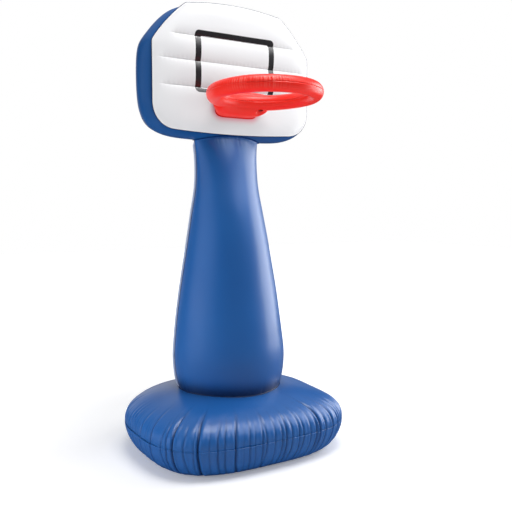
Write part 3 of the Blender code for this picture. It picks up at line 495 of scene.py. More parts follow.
def creaseField(angles, away, reachScale):
    # the depth of the gathers: each is a narrow valley with two low banks, slightly slanted,
    # deepest near the seam and gone at its own reach
    draw = np.random.default_rng(base["creaseSeed"])
    fine, length = outlineLengths()
    total = length[-1]
    spots = [(np.interp(math.radians(a), fine, length), d * 0.001) for a, d in base["creases"]]
    named = np.array([s for s, _ in spots])
    for k in range(base["spareCreases"]):
        s = (k + draw.uniform(0.15, 0.85)) * total / base["spareCreases"]
        if np.min(np.abs(wrapped(s - named, total))) > base["spareRoom"]:
            spots.append((s, draw.uniform(*base["spareDepth"])))
    along = np.interp(angles, fine, length)
    field = np.zeros(away.shape)
    stray, rate = base["wander"]
    for s, depth in spots:
        width = draw.uniform(*base["creaseWidth"]) + depth * base["depthWidens"]
        reach = base["creaseReach"] + depth * base["depthReaches"] + draw.uniform(*base["reachSpread"])
        reach *= reachScale
        slant = draw.uniform(-base["slant"], base["slant"])
        offset = wrapped(along - s, total)[None, :] - slant * away
        offset = offset - stray * np.sin(away * rate + draw.uniform(0, math.tau))
        width = width * (base["seamWidth"] + base["widens"] * away / reach)
        banks = bell((np.abs(offset) / width - base["bankAt"]) / base["bankWidth"])
        field += depth * bell(away / reach, 2.6) * (base["bank"] * banks - bell(offset / width, 1.5))
    return base["creaseGain"] * field


def creaseShade(creases):
    # how dark a valley is, from its depth
    return base["creaseShade"] * ramp(-creases / base["shadeDepth"]) ** 0.8


def meridianLength(grid):
    # distance of each row from the last one, along the sheet
    step = np.linalg.norm(np.diff(grid, axis=0), axis=2)
    away = np.cumsum(step[::-1], axis=0)[::-1]
    return np.vstack([away, np.zeros((1, grid.shape[1]))])


def footCircle(angles, radius):
    # a circle round the column's foot, laid on the base's top
    x = radius * np.cos(angles)
    y = column["footY"] + radius * np.sin(angles)
    return np.stack([x, y, baseTopHeight(x, y)], axis=-1)


def fittingsCalm(x, y):
    # nothing at the valve and at the filler, whose stiff flanges hold the sheet flat, 1 away from them
    fittingY = base["centreY"] + base["fittingBack"] * base["halfDepth"]
    calm = np.ones(x.shape)
    for side in (-1, 1):
        away = np.hypot(x - side * base["fittingSide"] * base["halfWidth"], y - fittingY)
        calm *= 1 - bell(away / base["fittingReach"], 4)
    return calm


def level(plan, height):
    # plan points at one height, or each at its own
    return np.column_stack([plan, np.broadcast_to(height, len(plan))])


def shapeBaseTop(angles, outline, core):
    # rows from the column's foot to the outline, by the sine of even steps, with the creases on them
    foot = np.array([0.0, column["footY"]])
    turn = np.arctan2(*(outline - foot).T[::-1])
    inner = footCircle(turn, column["footRadius"] - base["footInset"])[:, :2]
    rows = [footCircle(turn, column["footRadius"] * share) for share in (0.04, 0.5)]
    for share in np.sin(np.linspace(0, math.pi / 2, base["rowsTop"])):
        plan = inner + share * (outline - inner)
        rows.append(level(plan, baseTopHeight(plan[:, 0], plan[:, 1])))
    rows[-1] = level(outline, base["seamHeight"] + base["seamSlit"])
    top = np.array(rows)
    start, fade = base["footCalm"]
    fromFoot = ramp((np.linalg.norm(top[:, :, :2] - foot, axis=2) - column["footRadius"] - start) / fade)
    creases = creaseField(angles, meridianLength(top), 1.0) * fromFoot
    seed, length, height = base["swell"]
    swell = softWaves(top, seed, length) * height * fromFoot
    calm = fittingsCalm(top[:, :, 0], top[:, :, 1])
    rise = (creases + swell) * calm - base["fittingSink"] * (1 - calm)
    top = top + outwardNormals(top, True, core) * rise[:, :, None]
    pole = footCircle(np.zeros(1), 0.0)
    piece = sheetPiece("baseTop", top, True, core, pole, {"shade": creaseShade(creases * calm)})
    settle(piece, blueSheet, "base_top_panel")


def shapeBaseBottom(angles, outline, core):
    # rows from the flat sole's edge up a superelliptic flank to the outline, with the creases on them
    centre = np.array([0.0, base["centreY"]])
    top = base["seamHeight"] - base["seamSlit"]
    power = base["sidePower"]
    rows = []
    for rise in np.sin(np.linspace(0, math.pi / 2, base["rowsSide"])):
        share = base["soleShare"] + (1 - base["soleShare"]) * rise
        height = top * (1 - (1 - rise ** power) ** (1 / power))
        rows.append(level(centre + share * (outline - centre), height))
    side = np.array(rows)
    creases = creaseField(angles, meridianLength(side), base["sideReach"]) * ramp(side[:, :, 2] / 0.02)
    side = side + outwardNormals(side, True, core) * creases[:, :, None]
    side[:, :, 2] = np.maximum(side[:, :, 2], 0.0)
    pole = level(centre[None], 0.0)
    piece = sheetPiece("baseBottom", side, True, core, pole, {"shade": creaseShade(creases)})
    settle(piece, blueSheet, "base_bottom_panel")
    return side[-1]


def shapeDivider(edge):
    # the sheet between air and ballast: it sags by the square and its edge follows the creases
    centre = np.array([0.0, base["centreY"], 0.0])
    height = base["seamHeight"] + sheet["thickness"] / 2
    shares = np.linspace(*base["dividerShares"], base["dividerRows"])[:, None, None]
    grid = centre + shares * (edge - centre)
    grid[:, :, 2] = height - base["dividerSag"] * (1 - shares[:, :, 0] ** 2)
    pole = centre[None] + [0.0, 0.0, height - base["dividerSag"]]
    # painted shade: the whole divider takes the darker sheet's weld colour, so that the slit at the base's
    # seam reads dark
    piece = sheetPiece("ballastDivider", grid, True, centre, pole, {"weld": 1.0})
    settle(piece, shadedBlueSheet, "ballast_divider")


def shapeBase():
    fine, length = outlineLengths()
    angles = np.interp(np.linspace(0, length[-1], base["around"], endpoint=False), length, fine)
    outline = np.stack(baseOutline(angles), axis=1) + [0.0, base["centreY"]]
    core = np.array([0.0, base["centreY"], base["seamHeight"]])
    shapeBaseTop(angles, outline, core)
    shapeDivider(shapeBaseBottom(angles, outline, core))
    print("base shaped")


# Column: round at the foot and flattened at the head

column = {
    "radius": 0.2685, "footRadius": 0.2475, "footY": -0.015, "headY": 0.002,
    "headHalfWidth": 0.168, "headHalfDepth": 0.067, "headGap": 0.0009, "seamTurn": 12.0,
    "heights": (0.0, 0.025, 0.118, 0.228, 0.373, 0.552, 0.707, 0.834, 0.93, 1.0),
    "widths": (0.922, 0.950, 1.0, 0.972, 0.894, 0.764, 0.655, 0.577, 0.585, 0.626),
    "depths": (0.922, 0.950, 1.0, 0.972, 0.894, 0.764, 0.626, 0.466, 0.350, 0.250),
    "acrossFront": 170, "acrossBack": 140,
    "rows": ((0, 0.12, 46), (0.12, 0.9, 70), (0.9, 1.0, 34)),  # start, end and count of each run
    "waves": (21, 0.40, 0.0014),  # seed, wave length and height
    "waveFades": (0.03, 0.05),  # shares of the height over which they begin and end
    "calmPoints": 10,  # over how many points they fade beside a seam
    "footLip": (0.0030, 0.0010), "headLip": (0.0010, 0.0100), "sideLip": (0.0020, 0.0100),
    "footShade": (0.94, 0.052),  # how dark the foot is, and how high
    "seamShade": (0.75, 0.009), "gathers": 46, "gatherWidth": (0.018, 0.045),
    "gatherDepth": (0.0003, 0.0011), "gatherReach": (0.012, 0.045), "gatherStart": 0.004,
}


def underBoard(x, y):
    # the board's lower outline less the arc of its side wall
    radius, half = wallArc(sideWall["bulgeLow"])
    return boardLowEdge(x) - (np.sqrt(radius ** 2 - y ** 2) - radius * np.cos(half))


def columnRows(shares, angles):
    # ellipses whose half-widths follow the stations, between the base's top and the board
    shares = shares[:, None]
    a = column["radius"] * smoothStations(shares, column["heights"], column["widths"])
    b = column["radius"] * smoothStations(shares, column["heights"], column["depths"])
    centre = column["footY"] + shares * (column["headY"] - column["footY"])
    low = footCircle(angles, column["footRadius"])[:, 2] + sheet["gap"] + sheet["thickness"]
    high = headRow(angles, 0.0)[:, 2]
    return np.stack([a * np.cos(angles), centre + b * np.sin(angles), low + shares * (high - low)], axis=-1)


def headRow(angles, reach):
    # an ellipse so far outside the column's head, under the board
    x = (column["headHalfWidth"] + reach) * np.cos(angles)
    y = column["headY"] + (column["headHalfDepth"] + reach) * np.sin(angles)
    return np.stack([x, y, underBoard(x, y) - column["headGap"] - sheet["thickness"]], axis=1)


def footRow(angles, reach):
    # a circle so far outside the column's foot, a sheet and a gap above the base along its normal
    foot = footCircle(angles, column["footRadius"] + reach)
    x, y = foot[:, 0], foot[:, 1]
    step = 1e-4
    slopeX = (baseTopHeight(x + step, y) - baseTopHeight(x - step, y)) / (2 * step)
    slopeY = (baseTopHeight(x, y + step) - baseTopHeight(x, y - step)) / (2 * step)
    normal = unit(np.stack([-slopeX, -slopeY, np.ones_like(x)], axis=1))
    return foot + normal * (sheet["gap"] + sheet["thickness"])


def gathers(angles, shares):
    # short soft puckers above the foot weld and below the head weld, each a bell in both directions
    draw = np.random.default_rng(8)
    field = np.zeros((len(shares), len(angles)))
    for _ in range(column["gathers"]):
        at = draw.uniform(-math.pi, math.tau)
        width = draw.uniform(*column["gatherWidth"])
        depth = draw.uniform(*column["gatherDepth"])
        reach = draw.uniform(*column["gatherReach"])
        ends = sum(bell(end / reach) * ramp(end / column["gatherStart"]) for end in (shares, 1 - shares))
        field -= depth * bell((angles - at) / width)[None, :] * ends[:, None]
    return field


def shapeColumnPanel(name, low, high, count, node):
    # the panel between two seams, with its lips turned out along them and round both welds
    angles = np.linspace(low, high, count)
    shares = np.unique(np.concatenate([np.linspace(*run) for run in column["rows"]]))
    wall = columnRows(shares, angles)
    core = wall.mean(axis=1) * [0.0, 1.0, 1.0]
    normal = outwardNormals(wall, False, core[:, None, :])
    footFade, headFade = column["waveFades"]
    fade = ramp(np.minimum(shares / footFade, (1 - shares) / headFade))[:, None]
    place = np.arange(count)
    edge = ramp(np.minimum(place, place[::-1]) / column["calmPoints"])[None, :]
    seed, length, height = column["waves"]
    rise = (softWaves(wall, seed, length) * height * fade + gathers(angles, shares)) * edge
    wall = wall + normal * rise[:, :, None]

    foot = np.array([footRow(angles, reach) for reach in column["footLip"]])
    head = np.array([headRow(angles, reach) for reach in column["headLip"]])
    grid = np.concatenate([foot, wall, head], axis=0)
    dark, reach = column["footShade"]
    shade = dark * bell(np.linalg.norm(grid - grid[2], axis=2) / reach, 2.4)
    # the weld rows take the darker seam colour, partly painted shade of the creases at the foot and the head
    weld = np.zeros(grid.shape[:2])
    weld[[0, 1, -2, -1]] = 1.0

    # side lips: two more columns at each side, tapering to nothing at both welds
    least = 0.02
    taper = np.pad(np.clip(np.minimum(shares, 1 - shares) / 0.02, least, 1), 2, constant_values=least)
    sides = []
    for at, nearBy in ((0, 1), (-1, -2)):
        inward = unit(grid[:, nearBy] - grid[:, at])
        grid[:, at] += inward * (sheet["thickness"] + sheet["gap"] / 2)
        out = np.stack([inward[:, 1], -inward[:, 0], np.zeros(len(grid))], axis=1)
        out *= np.sign(out[:, 0] * grid[:, at, 0])[:, None]
        sides.append([(grid[:, at] + out * (taper * reach)[:, None])[:, None] for reach in column["sideLip"]])
    core = (grid.mean(axis=1) * [0.0, 1.0, 1.0])[:, None, :]
    # the panel darkens towards its side seams
    step = np.linalg.norm(np.diff(grid, axis=1), axis=2)
    across = np.pad(np.cumsum(step, axis=1), ((0, 0), (1, 0)))
    dark, reach = column["seamShade"]
    shade = np.maximum(shade, dark * bell(np.minimum(across, across[:, -1:] - across) / reach))
    grid = np.concatenate([sides[0][1], sides[0][0], grid, sides[1][0], sides[1][1]], axis=1)
    # the side joints take the darker seam colour too, partly painted shade of the groove beside the lip
    weld = np.pad(weld, ((0, 0), (2, 2)))
    weld[:, [2, -3]] = 1.0
    shade = np.pad(shade, ((0, 0), (2, 2)), mode="edge")
    # painted highlight: the side lips are lightened as if they caught the bright backdrop at a grazing angle
    paintedHighlight = np.zeros(weld.shape)
    paintedHighlight[4:-4, [0, 1, -2, -1]] = 1.0
    piece = sheetPiece(name, grid, False, core, masks={"weld": weld, "shade": shade, "paintedHighlight": paintedHighlight})
    settle(piece, blueSheet, node)


def shapeColumn():
    turn = math.radians(column["seamTurn"])
    shapeColumnPanel("columnFront", -math.pi - turn, turn, column["acrossFront"], "column_front_panel")
    shapeColumnPanel("columnBack", turn, math.pi - turn, column["acrossBack"], "column_back_panel")
    print("column shaped")


# Board: two channelled panels and the wall between them

board = {
    "halfWidth": 0.405, "bottom": 1.498, "height": 0.579, "halfThickness": 0.080,
    "topSag": 0.0984,
    "topCorner": (0.395, 0.242, 1.15),  # width and height as shares of the board's, and power
    "lowSag": 0.0328, "lowCorner": (0.247, 0.181, 2.2), "topSplit": 0.815,
    "lowSplit": 0.925, "crown": 0.014, "weldCrown": 0.003, "edgePower": 8, "topLean": 0.030,
    "welds": (0.3437, 0.5440, 0.7340), "weldLengths": (0.852, 0.864, 0.716),
    "weldFade": 0.050, "channelReach": 0.095, "puckerPitch": 0.021, "puckerDepth": 0.00042,
    "puckerReach": (0.006, 0.008),  # how far from the weld, and how wide
    "softness": (0.25, 0.0012),  # wave length and height
    "across": 170, "rowsBetween": 26,
}


def boardInset(x, sag, corner):
    # how far the outline has left its end line at x: a parabola and a superelliptic corner
    x = np.abs(x) / board["halfWidth"]
    width, height, power = corner
    into = ramp((x - 1) / width + 1)
    return board["height"] * (sag * x ** 2 + height * (1 - (1 - into ** power) ** (1 / power)))


def boardLowEdge(x):
    return board["bottom"] + boardInset(x, board["lowSag"], board["lowCorner"])


def boardTopEdge(x):
    return board["bottom"] + board["height"] - boardInset(x, board["topSag"], board["topCorner"])


def boardHalfWidth(height):
    # the outline's half width at a height, read back from its lower and its upper edge
    x = np.linspace(0.0, board["halfWidth"], 3000)
    low, top = boardLowEdge(x), boardTopEdge(x)
    return np.minimum(np.where(height > low[-1], x[-1], np.interp(height, low, x)),
                      np.where(height < top[-1], x[-1], np.interp(-height, -top, x)))


def seamLevel(side):
    # how far a sheet's outside lies from the board's middle: 1 for a panel, -1 for the wall inside it
    return board["halfThickness"] + side * (sheet["gap"] / 2 + sheet["thickness"])


def weldHeights():
    return board["bottom"] + np.array(board["welds"]) * board["height"]


def boardPlan():
    # points across and up the outline: rows closer together next to each weld, bent to the
    # outline below the first weld and above the last
    welds = weldHeights()
    across = np.linspace(-1.0, 1.0, board["across"] + 1)
    lowX = across * board["halfWidth"] * board["lowSplit"]
    topX = across * board["halfWidth"] * board["topSplit"]
    stops = np.array([boardLowEdge(lowX[-1]), *welds, boardTopEdge(topX[-1])])
    steps = (1 - np.cos(np.linspace(0, math.pi, board["rowsBetween"] + 1))) / 2
    rows = np.unique(np.round(stops[:-1, None] + np.diff(stops)[:, None] * steps, 9))
    nearLow = ramp((welds[0] - rows) / (welds[0] - rows[0]))[:, None]
    nearTop = ramp((rows - welds[-1]) / (rows[-1] - welds[-1]))[:, None]
    z = rows[:, None] + nearLow * (boardLowEdge(lowX) - rows[0]) + nearTop * (boardTopEdge(topX) - rows[-1])
    return np.stack([across * boardHalfWidth(rows)[:, None], z], axis=-1)


def nearestWeld(height):
    # distance to the nearest weld line, and which one it is
    away = np.abs(height[..., None] - weldHeights())
    return away.min(axis=-1), np.argmin(away, axis=-1)


def boardCrown(x, height):
    # a cushion whose depth drops to the weld lines along circular flanks
    width = np.maximum(boardHalfWidth(height), 1e-6)
    low, top = boardLowEdge(x), boardTopEdge(x)
    across = ramp(np.abs(x) / width)
    along = ramp(np.abs((height - (low + top) / 2) / ((top - low) / 2)))
    power = board["edgePower"]
    crown = board["crown"] * (1 - across ** power) * (1 - along ** power)
    away, nearest = nearestWeld(height)
    rest = ramp(1 - away / (board["channelReach"] * board["height"]))
    ends = np.array(board["weldLengths"])[nearest] * board["halfWidth"]
    hold = ramp((ends + board["weldFade"] - np.abs(x)) / board["weldFade"])
    held = (1 - np.sqrt(1 - rest ** 2)) * hold * hold * (3 - 2 * hold)
    return crown - (crown - np.minimum(crown, board["weldCrown"])) * held, held


def weldPuckers(x, height, held):
    # short ripples square to each weld line, strongest a few millimetres from it
    away, nearest = nearestWeld(height)
    ripple = np.sin(x * math.tau / board["puckerPitch"] + nearest * 1.7 + 3.0 * np.sin(x * 9.0 + nearest))
    at, reach = board["puckerReach"]
    return board["puckerDepth"] * ripple * bell((away - at) / reach) * ramp(held * 3)


def boardLean(height):
    # how far the back seam leans forward: nothing up to the top weld, then by the square
    top = weldHeights()[-1]
    return board["topLean"] * ramp((height - top) / (board["bottom"] + board["height"] - top)) ** 2


def lipAround(grid, reaches):
    # loops of points just outside the panel's edge, in the seam's plane
    loop = edgeLoop(grid)
    tangent = smoothed(np.roll(loop, -1, axis=0) - np.roll(loop, 1, axis=0), 6)
    out = unit(np.stack([tangent[:, 2], np.zeros(len(loop)), -tangent[:, 0]], axis=1))
    return [loop + out * reach for reach in reaches]


def shapeBoardPanel(name, forward, finish, node):
    # the plan stood out by the crown, its ripples and a little softness, with a flat lip round it
    plan = boardPlan()
    x, z = plan[..., 0], plan[..., 1]
    crown, held = boardCrown(x, z)
    crown = crown + weldPuckers(x, z, held)
    length, height = board["softness"]
    soft = ramp(crown / board["crown"]) * softWaves(np.stack([x, x * 0, z], -1), 31 + forward, length)
    inside = np.zeros(x.shape)
    inside[1:-1, 1:-1] = 1.0
    seam = seamLevel(1) - max(forward, 0) * boardLean(z)
    grid = np.stack([x, forward * (seam + (crown + soft * height) * inside), z], axis=-1)
    lips = lipAround(grid, (sheet["lipStart"], sheet["lip"]))
    piece = sheetPiece(name, grid, False, grid * [1.0, 0.0, 1.0], masks={"weld": 0.0}, skirt=lips)
    settle(piece, finish, node)


# Side wall: a strip that bulges between the two panels' seams

sideWall = {
    "bulgeLow": 0.034, "bulgeSide": 0.044, "bulgeTop": 0.012, "topShare": 0.1,
    "topPower": 1.8, "around": 720, "across": 31, "normalRounds": 10, "swingRounds": 130,
    "tautRounds": 380,  # how far the middle cuts the corners
    "lipShows": 0.0022,
    "seamShade": (0.85, 0.13),  # how dark, and over what share of the half width
    "puckers": 120, "puckerWidth": (0.004, 0.009), "puckerDepth": (0.0006, 0.0022),
    "puckerReach": 0.45, "seamEdge": 0.10,
    "wave": (0.0010, 0.31),  # height and length
}



def wallArc(bulge):
    # radius and half angle of the arc that stands out by the bulge between the two seams
    half = board["halfThickness"]
    radius = (half ** 2 + bulge ** 2) / (2 * bulge)
    return radius, np.arcsin(np.minimum(1.0, half / radius))


def evenLoop(count):
    # the board's outline in even steps, with smoothed normals and its whole length
    loop = edgeLoop(boardPlan())
    closed = np.vstack([loop, loop[:1]])
    length = np.concatenate([[0], np.cumsum(np.linalg.norm(np.diff(closed, axis=0), axis=1))])
    at = np.linspace(0, length[-1], count, endpoint=False)
    even = np.stack([np.interp(at, length, closed[:, k]) for k in (0, 1)], axis=1)
    tangent = smoothed(np.roll(even, -1, axis=0) - np.roll(even, 1, axis=0), sideWall["normalRounds"])
    return even, unit(np.stack([tangent[:, 1], -tangent[:, 0]], axis=1)), length[-1]


def wallPuckers(normal, s, total, t):
    # gathers at both seams, deeper where the outline turns, each a bell in both directions
    draw = np.random.default_rng(4)
    turnRate = np.linalg.norm(np.roll(normal, -1, axis=0) - np.roll(normal, 1, axis=0), axis=1)
    turning = np.clip(turnRate / turnRate.max() * 1.6, 0.12, 1.0)
    field = np.zeros((len(t), len(s)))
    for _ in range(sideWall["puckers"]):
        at = draw.uniform(0, total)
        side = draw.choice([-1.0, 1.0])
        width = draw.uniform(*sideWall["puckerWidth"])
        field -= (draw.uniform(*sideWall["puckerDepth"]) * bell(wrapped(s - at, total) / width)
                  * bell((1 - side * t) / sideWall["puckerReach"]))
    return field * turning


def shapeSideWall():
    # arcs between the seams, swung along the smoothed normals, whose middle cuts the outline's corners
    loop, normal, total = evenLoop(sideWall["around"])
    swing = unit(smoothed(normal, sideWall["swingRounds"]))
    taut = smoothed(loop, sideWall["tautRounds"]) - loop
    flat = ramp((swing[:, 1] - sideWall["topShare"]) / (1 - sideWall["topShare"])) ** sideWall["topPower"]
    bulge = sideWall["bulgeLow"] + (sideWall["bulgeSide"] - sideWall["bulgeLow"]) * swing[:, 0] ** 2
    bulge += (sideWall["bulgeTop"] - bulge) * flat
    radius, half = wallArc(bulge)
    seam = seamLevel(-1)
    t = np.linspace(-1, 1, sideWall["across"])[:, None]
    edge = ramp((1 - np.abs(t)) / sideWall["seamEdge"])
    s = np.arange(len(loop)) / len(loop) * total
    height, length = sideWall["wave"]
    out = radius * np.cos(half * t) - radius * np.cos(half)
    out = out + (wallPuckers(normal, s, total, t) + height * np.sin(s * math.tau / length + 2 * t)) * edge
    depth = radius * np.sin(half * t) * seam / board["halfThickness"]
    depth = (depth + seam) * (1 - boardLean(loop[:, 1]) / (2 * seam)) - seam
    plan = loop + (1 - t ** 2)[:, :, None] * taut + swing * out[:, :, None]
    grid = np.stack([plan[..., 0], depth, plan[..., 1]], axis=-1)

    def lip(forward, reach):
        plan = loop + normal * reach
        y = forward * seam - max(forward, 0) * boardLean(plan[:, 1])
        return np.stack([plan[:, 0], y, plan[:, 1]], axis=1)

    near, far = sheet["lipStart"], sheet["lip"] + sideWall["lipShows"]
    grid = np.concatenate([[lip(-1, far), lip(-1, near)], grid, [lip(1, near), lip(1, far)]], axis=0)
    weld = np.zeros(grid.shape[:2])
    weld[[0, 1, -2, -1]] = 1.0
    dark, share = sideWall["seamShade"]
    shade = np.pad(dark * bell((1 - np.abs(t)) / share), ((2, 2), (0, 0)), mode="edge")
    core = np.array([0.0, 0.0, board["bottom"] + board["height"] / 2])
    piece = sheetPiece("boardSideWall", grid, True, core, masks={"weld": weld, "shade": shade})
    settle(piece, shadedBlueSheet, "board_side_wall")


def shapeBoard():
    shapeBoardPanel("boardFront", -1, whiteSheet, "board_front_panel")
    shapeBoardPanel("boardBack", 1, blueSheet, "board_back_panel")
    shapeSideWall()
    print("board shaped")


# Ring: two panels welded along the inside and the outside of its tube

ring = {
    "radius": 0.220, "tube": 0.035, "height": 0.240, "tilt": 1.7, "standoff": 0.0015,
    "around": 960, "acrossTube": 26, "seamFold": 0.004, "sway": 0.0004, "crimps": 140,
    # where the gathers bunch: degrees round the ring, spread in degrees, strength
    "bunches": ((204, 14, 1.0), (236, 9, 0.9), (305, 14, 0.7), (30, 18, 0.7), (110, 14, 0.8)),
    "crimpRest": 0.18, "crimpRise": 0.38, "crimpLow": 0.35, "crimpHighlight": 0.55,
    "crimpWidth": (0.0080, 0.0115), "crimpDepth": (0.0012, 0.0026),
    "crimpTall": (0.22, 0.42), "innerDepth": (0.0003, 0.0009), "innerTall": (0.35, 0.6),
    "glintWidth": 0.009,
}


def ringCentre():
    # the centre of a ring that hangs with its back just clear of the board
    back = -(seamLevel(1) + board["crown"] + ring["standoff"])
    reach = ring["radius"] + ring["tube"]
    tilt = math.radians(ring["tilt"])
    height = board["bottom"] + ring["height"] * board["height"]
    return np.array([0.0, back - reach * math.cos(tilt), height + reach * math.sin(tilt)])


def ringPoint(turn, around, radius):
    # turn goes round the ring from its back, around goes round the tube from its outside
    out = ring["radius"] + radius * np.cos(around)
    x, y = out * np.sin(turn), out * np.cos(turn)
    z = radius * np.sin(around) + 0 * x
    tilt = math.radians(ring["tilt"])
    c, s = math.cos(tilt), math.sin(tilt)
    return np.stack([x, y * c + z * s, -y * s + z * c], axis=-1) + ringCentre()


def crimpField(turn, around, share):
    # fine gathers that run off both seams, each a bell in both directions: deeper and bunched at
    # the outer one, with a painted highlight beside each that stands in for a glint
    draw = np.random.default_rng(13)
    field = np.zeros(np.broadcast(turn, around).shape)
    glints = np.zeros(field.shape)
    step = math.tau / ring["crimps"]
    rest = ring["crimpRest"]
    for k in range(ring["crimps"]):
        at = (k + draw.uniform(-0.3, 0.3)) * step
        offset = wrapped(turn - at, math.tau)
        near = bell(offset / draw.uniform(*ring["crimpWidth"]))
        beside = bell((offset - step / 2) / ring["glintWidth"])
        bunch = rest + sum(strength * bell(wrapped(math.degrees(at) - heading, 360) / reach)
                           for heading, reach, strength in ring["bunches"])
        tall = bell((np.abs(around) - ring["crimpRise"]) / draw.uniform(*ring["crimpTall"]))
        outer = share * bunch * draw.uniform(*ring["crimpDepth"]) * tall
        fromInner = math.pi - np.abs(around)
        inner = draw.uniform(*ring["innerDepth"]) * bell(fromInner / draw.uniform(*ring["innerTall"]))
        field -= near * (outer + inner)
        glints += beside * share * (bunch - rest) * tall * draw.uniform(0.5, 1.0)
    return field, glints


def shapeRingPanel(name, side, node):
    # half of a crimped tube, whose seams are turned in
    turn = np.linspace(0, math.tau, ring["around"], endpoint=False)[None, :]
    lift = math.asin(sheet["gap"] / 2 / ring["tube"])
    shares = np.linspace(0, 1, ring["acrossTube"] + 1)[:, None]
    around = side * (math.pi - lift - (math.pi - 2 * lift) * shares)
    crimps, glints = crimpField(turn, around, 1.0 if side > 0 else ring["crimpLow"])
    body = ringPoint(turn, around, ring["tube"] + crimps + ring["sway"] * np.sin(turn * 5 + side))
    first, last = (ringPoint(turn, around[[k]], ring["tube"] - ring["seamFold"]) for k in (0, -1))
    grid = np.concatenate([first, body, last], axis=0)
    # painted highlight: light ticks beside the crimps stand in for glints
    paintedHighlight = np.pad(ramp(ring["crimpHighlight"] * glints), ((1, 1), (0, 0)))
    piece = sheetPiece(name, grid, True, ringPoint(turn, 0.0, 0.0), masks={"paintedHighlight": paintedHighlight})
    settle(piece, redSheet, node)


# Collar: the tab that carries the ring on the board

collar = {
    "halfWidth": 0.107, "halfHeight": 0.056, "drop": 0.008, "power": 5.5, "reach": 35.0,
    "topAngle": 104.0, "lowAngle": 122.0, "lips": (0.005, 0.0015, 0.0), "boardGap": 0.0010,
    "bulge": 0.010,
    "forward": 0.4,  # how far the bulge leans away from the board
    "wrinkle": 0.0004, "wrinkles": 23, "gap": 0.0002, "tuck": 0.0006, "dimple": 0.015,
    "dimpleEdge": 0.006, "dimpleSink": 0.0010, "valveTurn": 26.0, "around": 200, "rows": 24,
}


def onBoard(x, height, clearance):
    # a point so far in front of the board's front panel
    crown, _ = boardCrown(x, height)
    return np.stack([x, -(seamLevel(1) + crown + clearance), height], axis=-1)


def pressRound(points):
    # the sheet is pressed on to the tube round the valve: each point's distance from the
    # tube's centre line shrinks to the tube's own radius as it nears the valve's axis
    valve = ringPoint(math.radians(collar["valveTurn"]), -math.pi / 2, ring["tube"])
    away = np.hypot(points[..., 0] - valve[0], points[..., 1] - valve[1])
    press = ramp((collar["dimple"] - away) / collar["dimpleEdge"] + 1) * (points[..., 2] < ringCentre()[2])
    local = points - ringCentre()
    tilt = math.radians(ring["tilt"])
    y = local[..., 1] * math.cos(tilt) - local[..., 2] * math.sin(tilt)
    z = local[..., 1] * math.sin(tilt) + local[..., 2] * math.cos(tilt)
    out = np.hypot(local[..., 0], y) - ring["radius"]
    far = np.hypot(out, z)
    near = far + press * (ring["tube"] - collar["dimpleSink"] - far)
    pressed = ringPoint(np.arctan2(local[..., 0], y), np.arctan2(z, out), near)
    return np.where(press[..., None] > 0, pressed, points)


def shapeCollar():
    # a skirt from a rounded rectangle on the board to a curve that hugs the ring's tube
    turn = np.linspace(0, math.tau, collar["around"], endpoint=False)
    across, along = superellipse(turn, 1.0, 1.0, collar["power"])
    middle = board["bottom"] + ring["height"] * board["height"] - collar["drop"]
    rows = []
    for lip in collar["lips"]:
        x, up = (collar["halfWidth"] + lip) * across, (collar["halfHeight"] + lip) * along
        rows.append(onBoard(x, middle + up, collar["boardGap"] + sheet["thickness"]))
    start = rows[-1]
    reach = math.radians(collar["reach"]) * across
    mean = math.radians(collar["topAngle"] + collar["lowAngle"]) / 2
    lean = math.radians(collar["topAngle"] - collar["lowAngle"]) / 2
    around = mean * along + lean * along ** 2
    held = ringPoint(reach, around, ring["tube"] + collar["gap"] + sheet["thickness"])
    outward = np.stack([np.cos(turn), np.full(len(turn), -collar["forward"]), np.sin(turn)], axis=1)
    for share in np.linspace(0, 1, collar["rows"])[1:-1]:
        swell = 4 * share * (1 - share) * collar["bulge"]
        wrinkle = collar["wrinkle"] * np.sin(turn * collar["wrinkles"] + 2 * share) * (1 - share) ** 2 * share
        rows.append(start + share * (held - start) + outward * (swell + wrinkle)[:, None])
    rows += [held, ringPoint(reach * 1.02, around * 1.03, ring["tube"] - collar["tuck"])]
    grid = pressRound(np.array(rows))
    weld = np.zeros(grid.shape[:2])
    weld[:2] = 1.0
    core = np.array([0.0, grid[:, :, 1].mean(), middle])
    piece = sheetPiece("ringCollar", grid, True, core, masks={"weld": weld})
    settle(piece, redSheet, "ring_mount_collar")


def shapeRing():
    shapeRingPanel("ringUpper", 1, "ring_upper_panel")
    shapeRingPanel("ringLower", -1, "ring_lower_panel")
    shapeCollar()
    print("ring shaped")


shapeBase()
shapeColumn()
shapeBoard()
shapeRing()


# CAD nodes that stay: valves, filler, sleeve and webs

for name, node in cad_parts.items():
    if node.hide_render:
        continue
    finish = darkRedPlastic if name.startswith("ring_valve") else clearPlastic
    for slot in node.material_slots:
        slot.material = finish
print("fittings finished")


# Camera, floor and light

view = {
    "azimuth": -28.36, "distance": 3.213, "height": 1.151,
    "pitch": -0.073, "turn": 0.044,  # down and to the right of the hoop's middle, in radians
    "focal": 660.0, "frame": 512.0,  # in picture points
    "sensor": 36.0,
}


def placeCamera():
    # a camera on a circle round the hoop
    azimuth = math.radians(view["azimuth"])
    data = bpy.data.cameras.new("camera")
    data.sensor_width = view["sensor"]
    data.lens = view["focal"] / view["frame"] * view["sensor"]
    spot = Vector((math.sin(azimuth), -math.cos(azimuth), 0)) * view["distance"]
    spot.z = view["height"]
    turn = Euler((math.pi / 2 + view["pitch"], 0, azimuth - view["turn"]))
    camera = addObject("camera", data)
    camera.matrix_world = Matrix.LocRotScale(spot, turn, None)
    bpy.context.scene.camera = camera


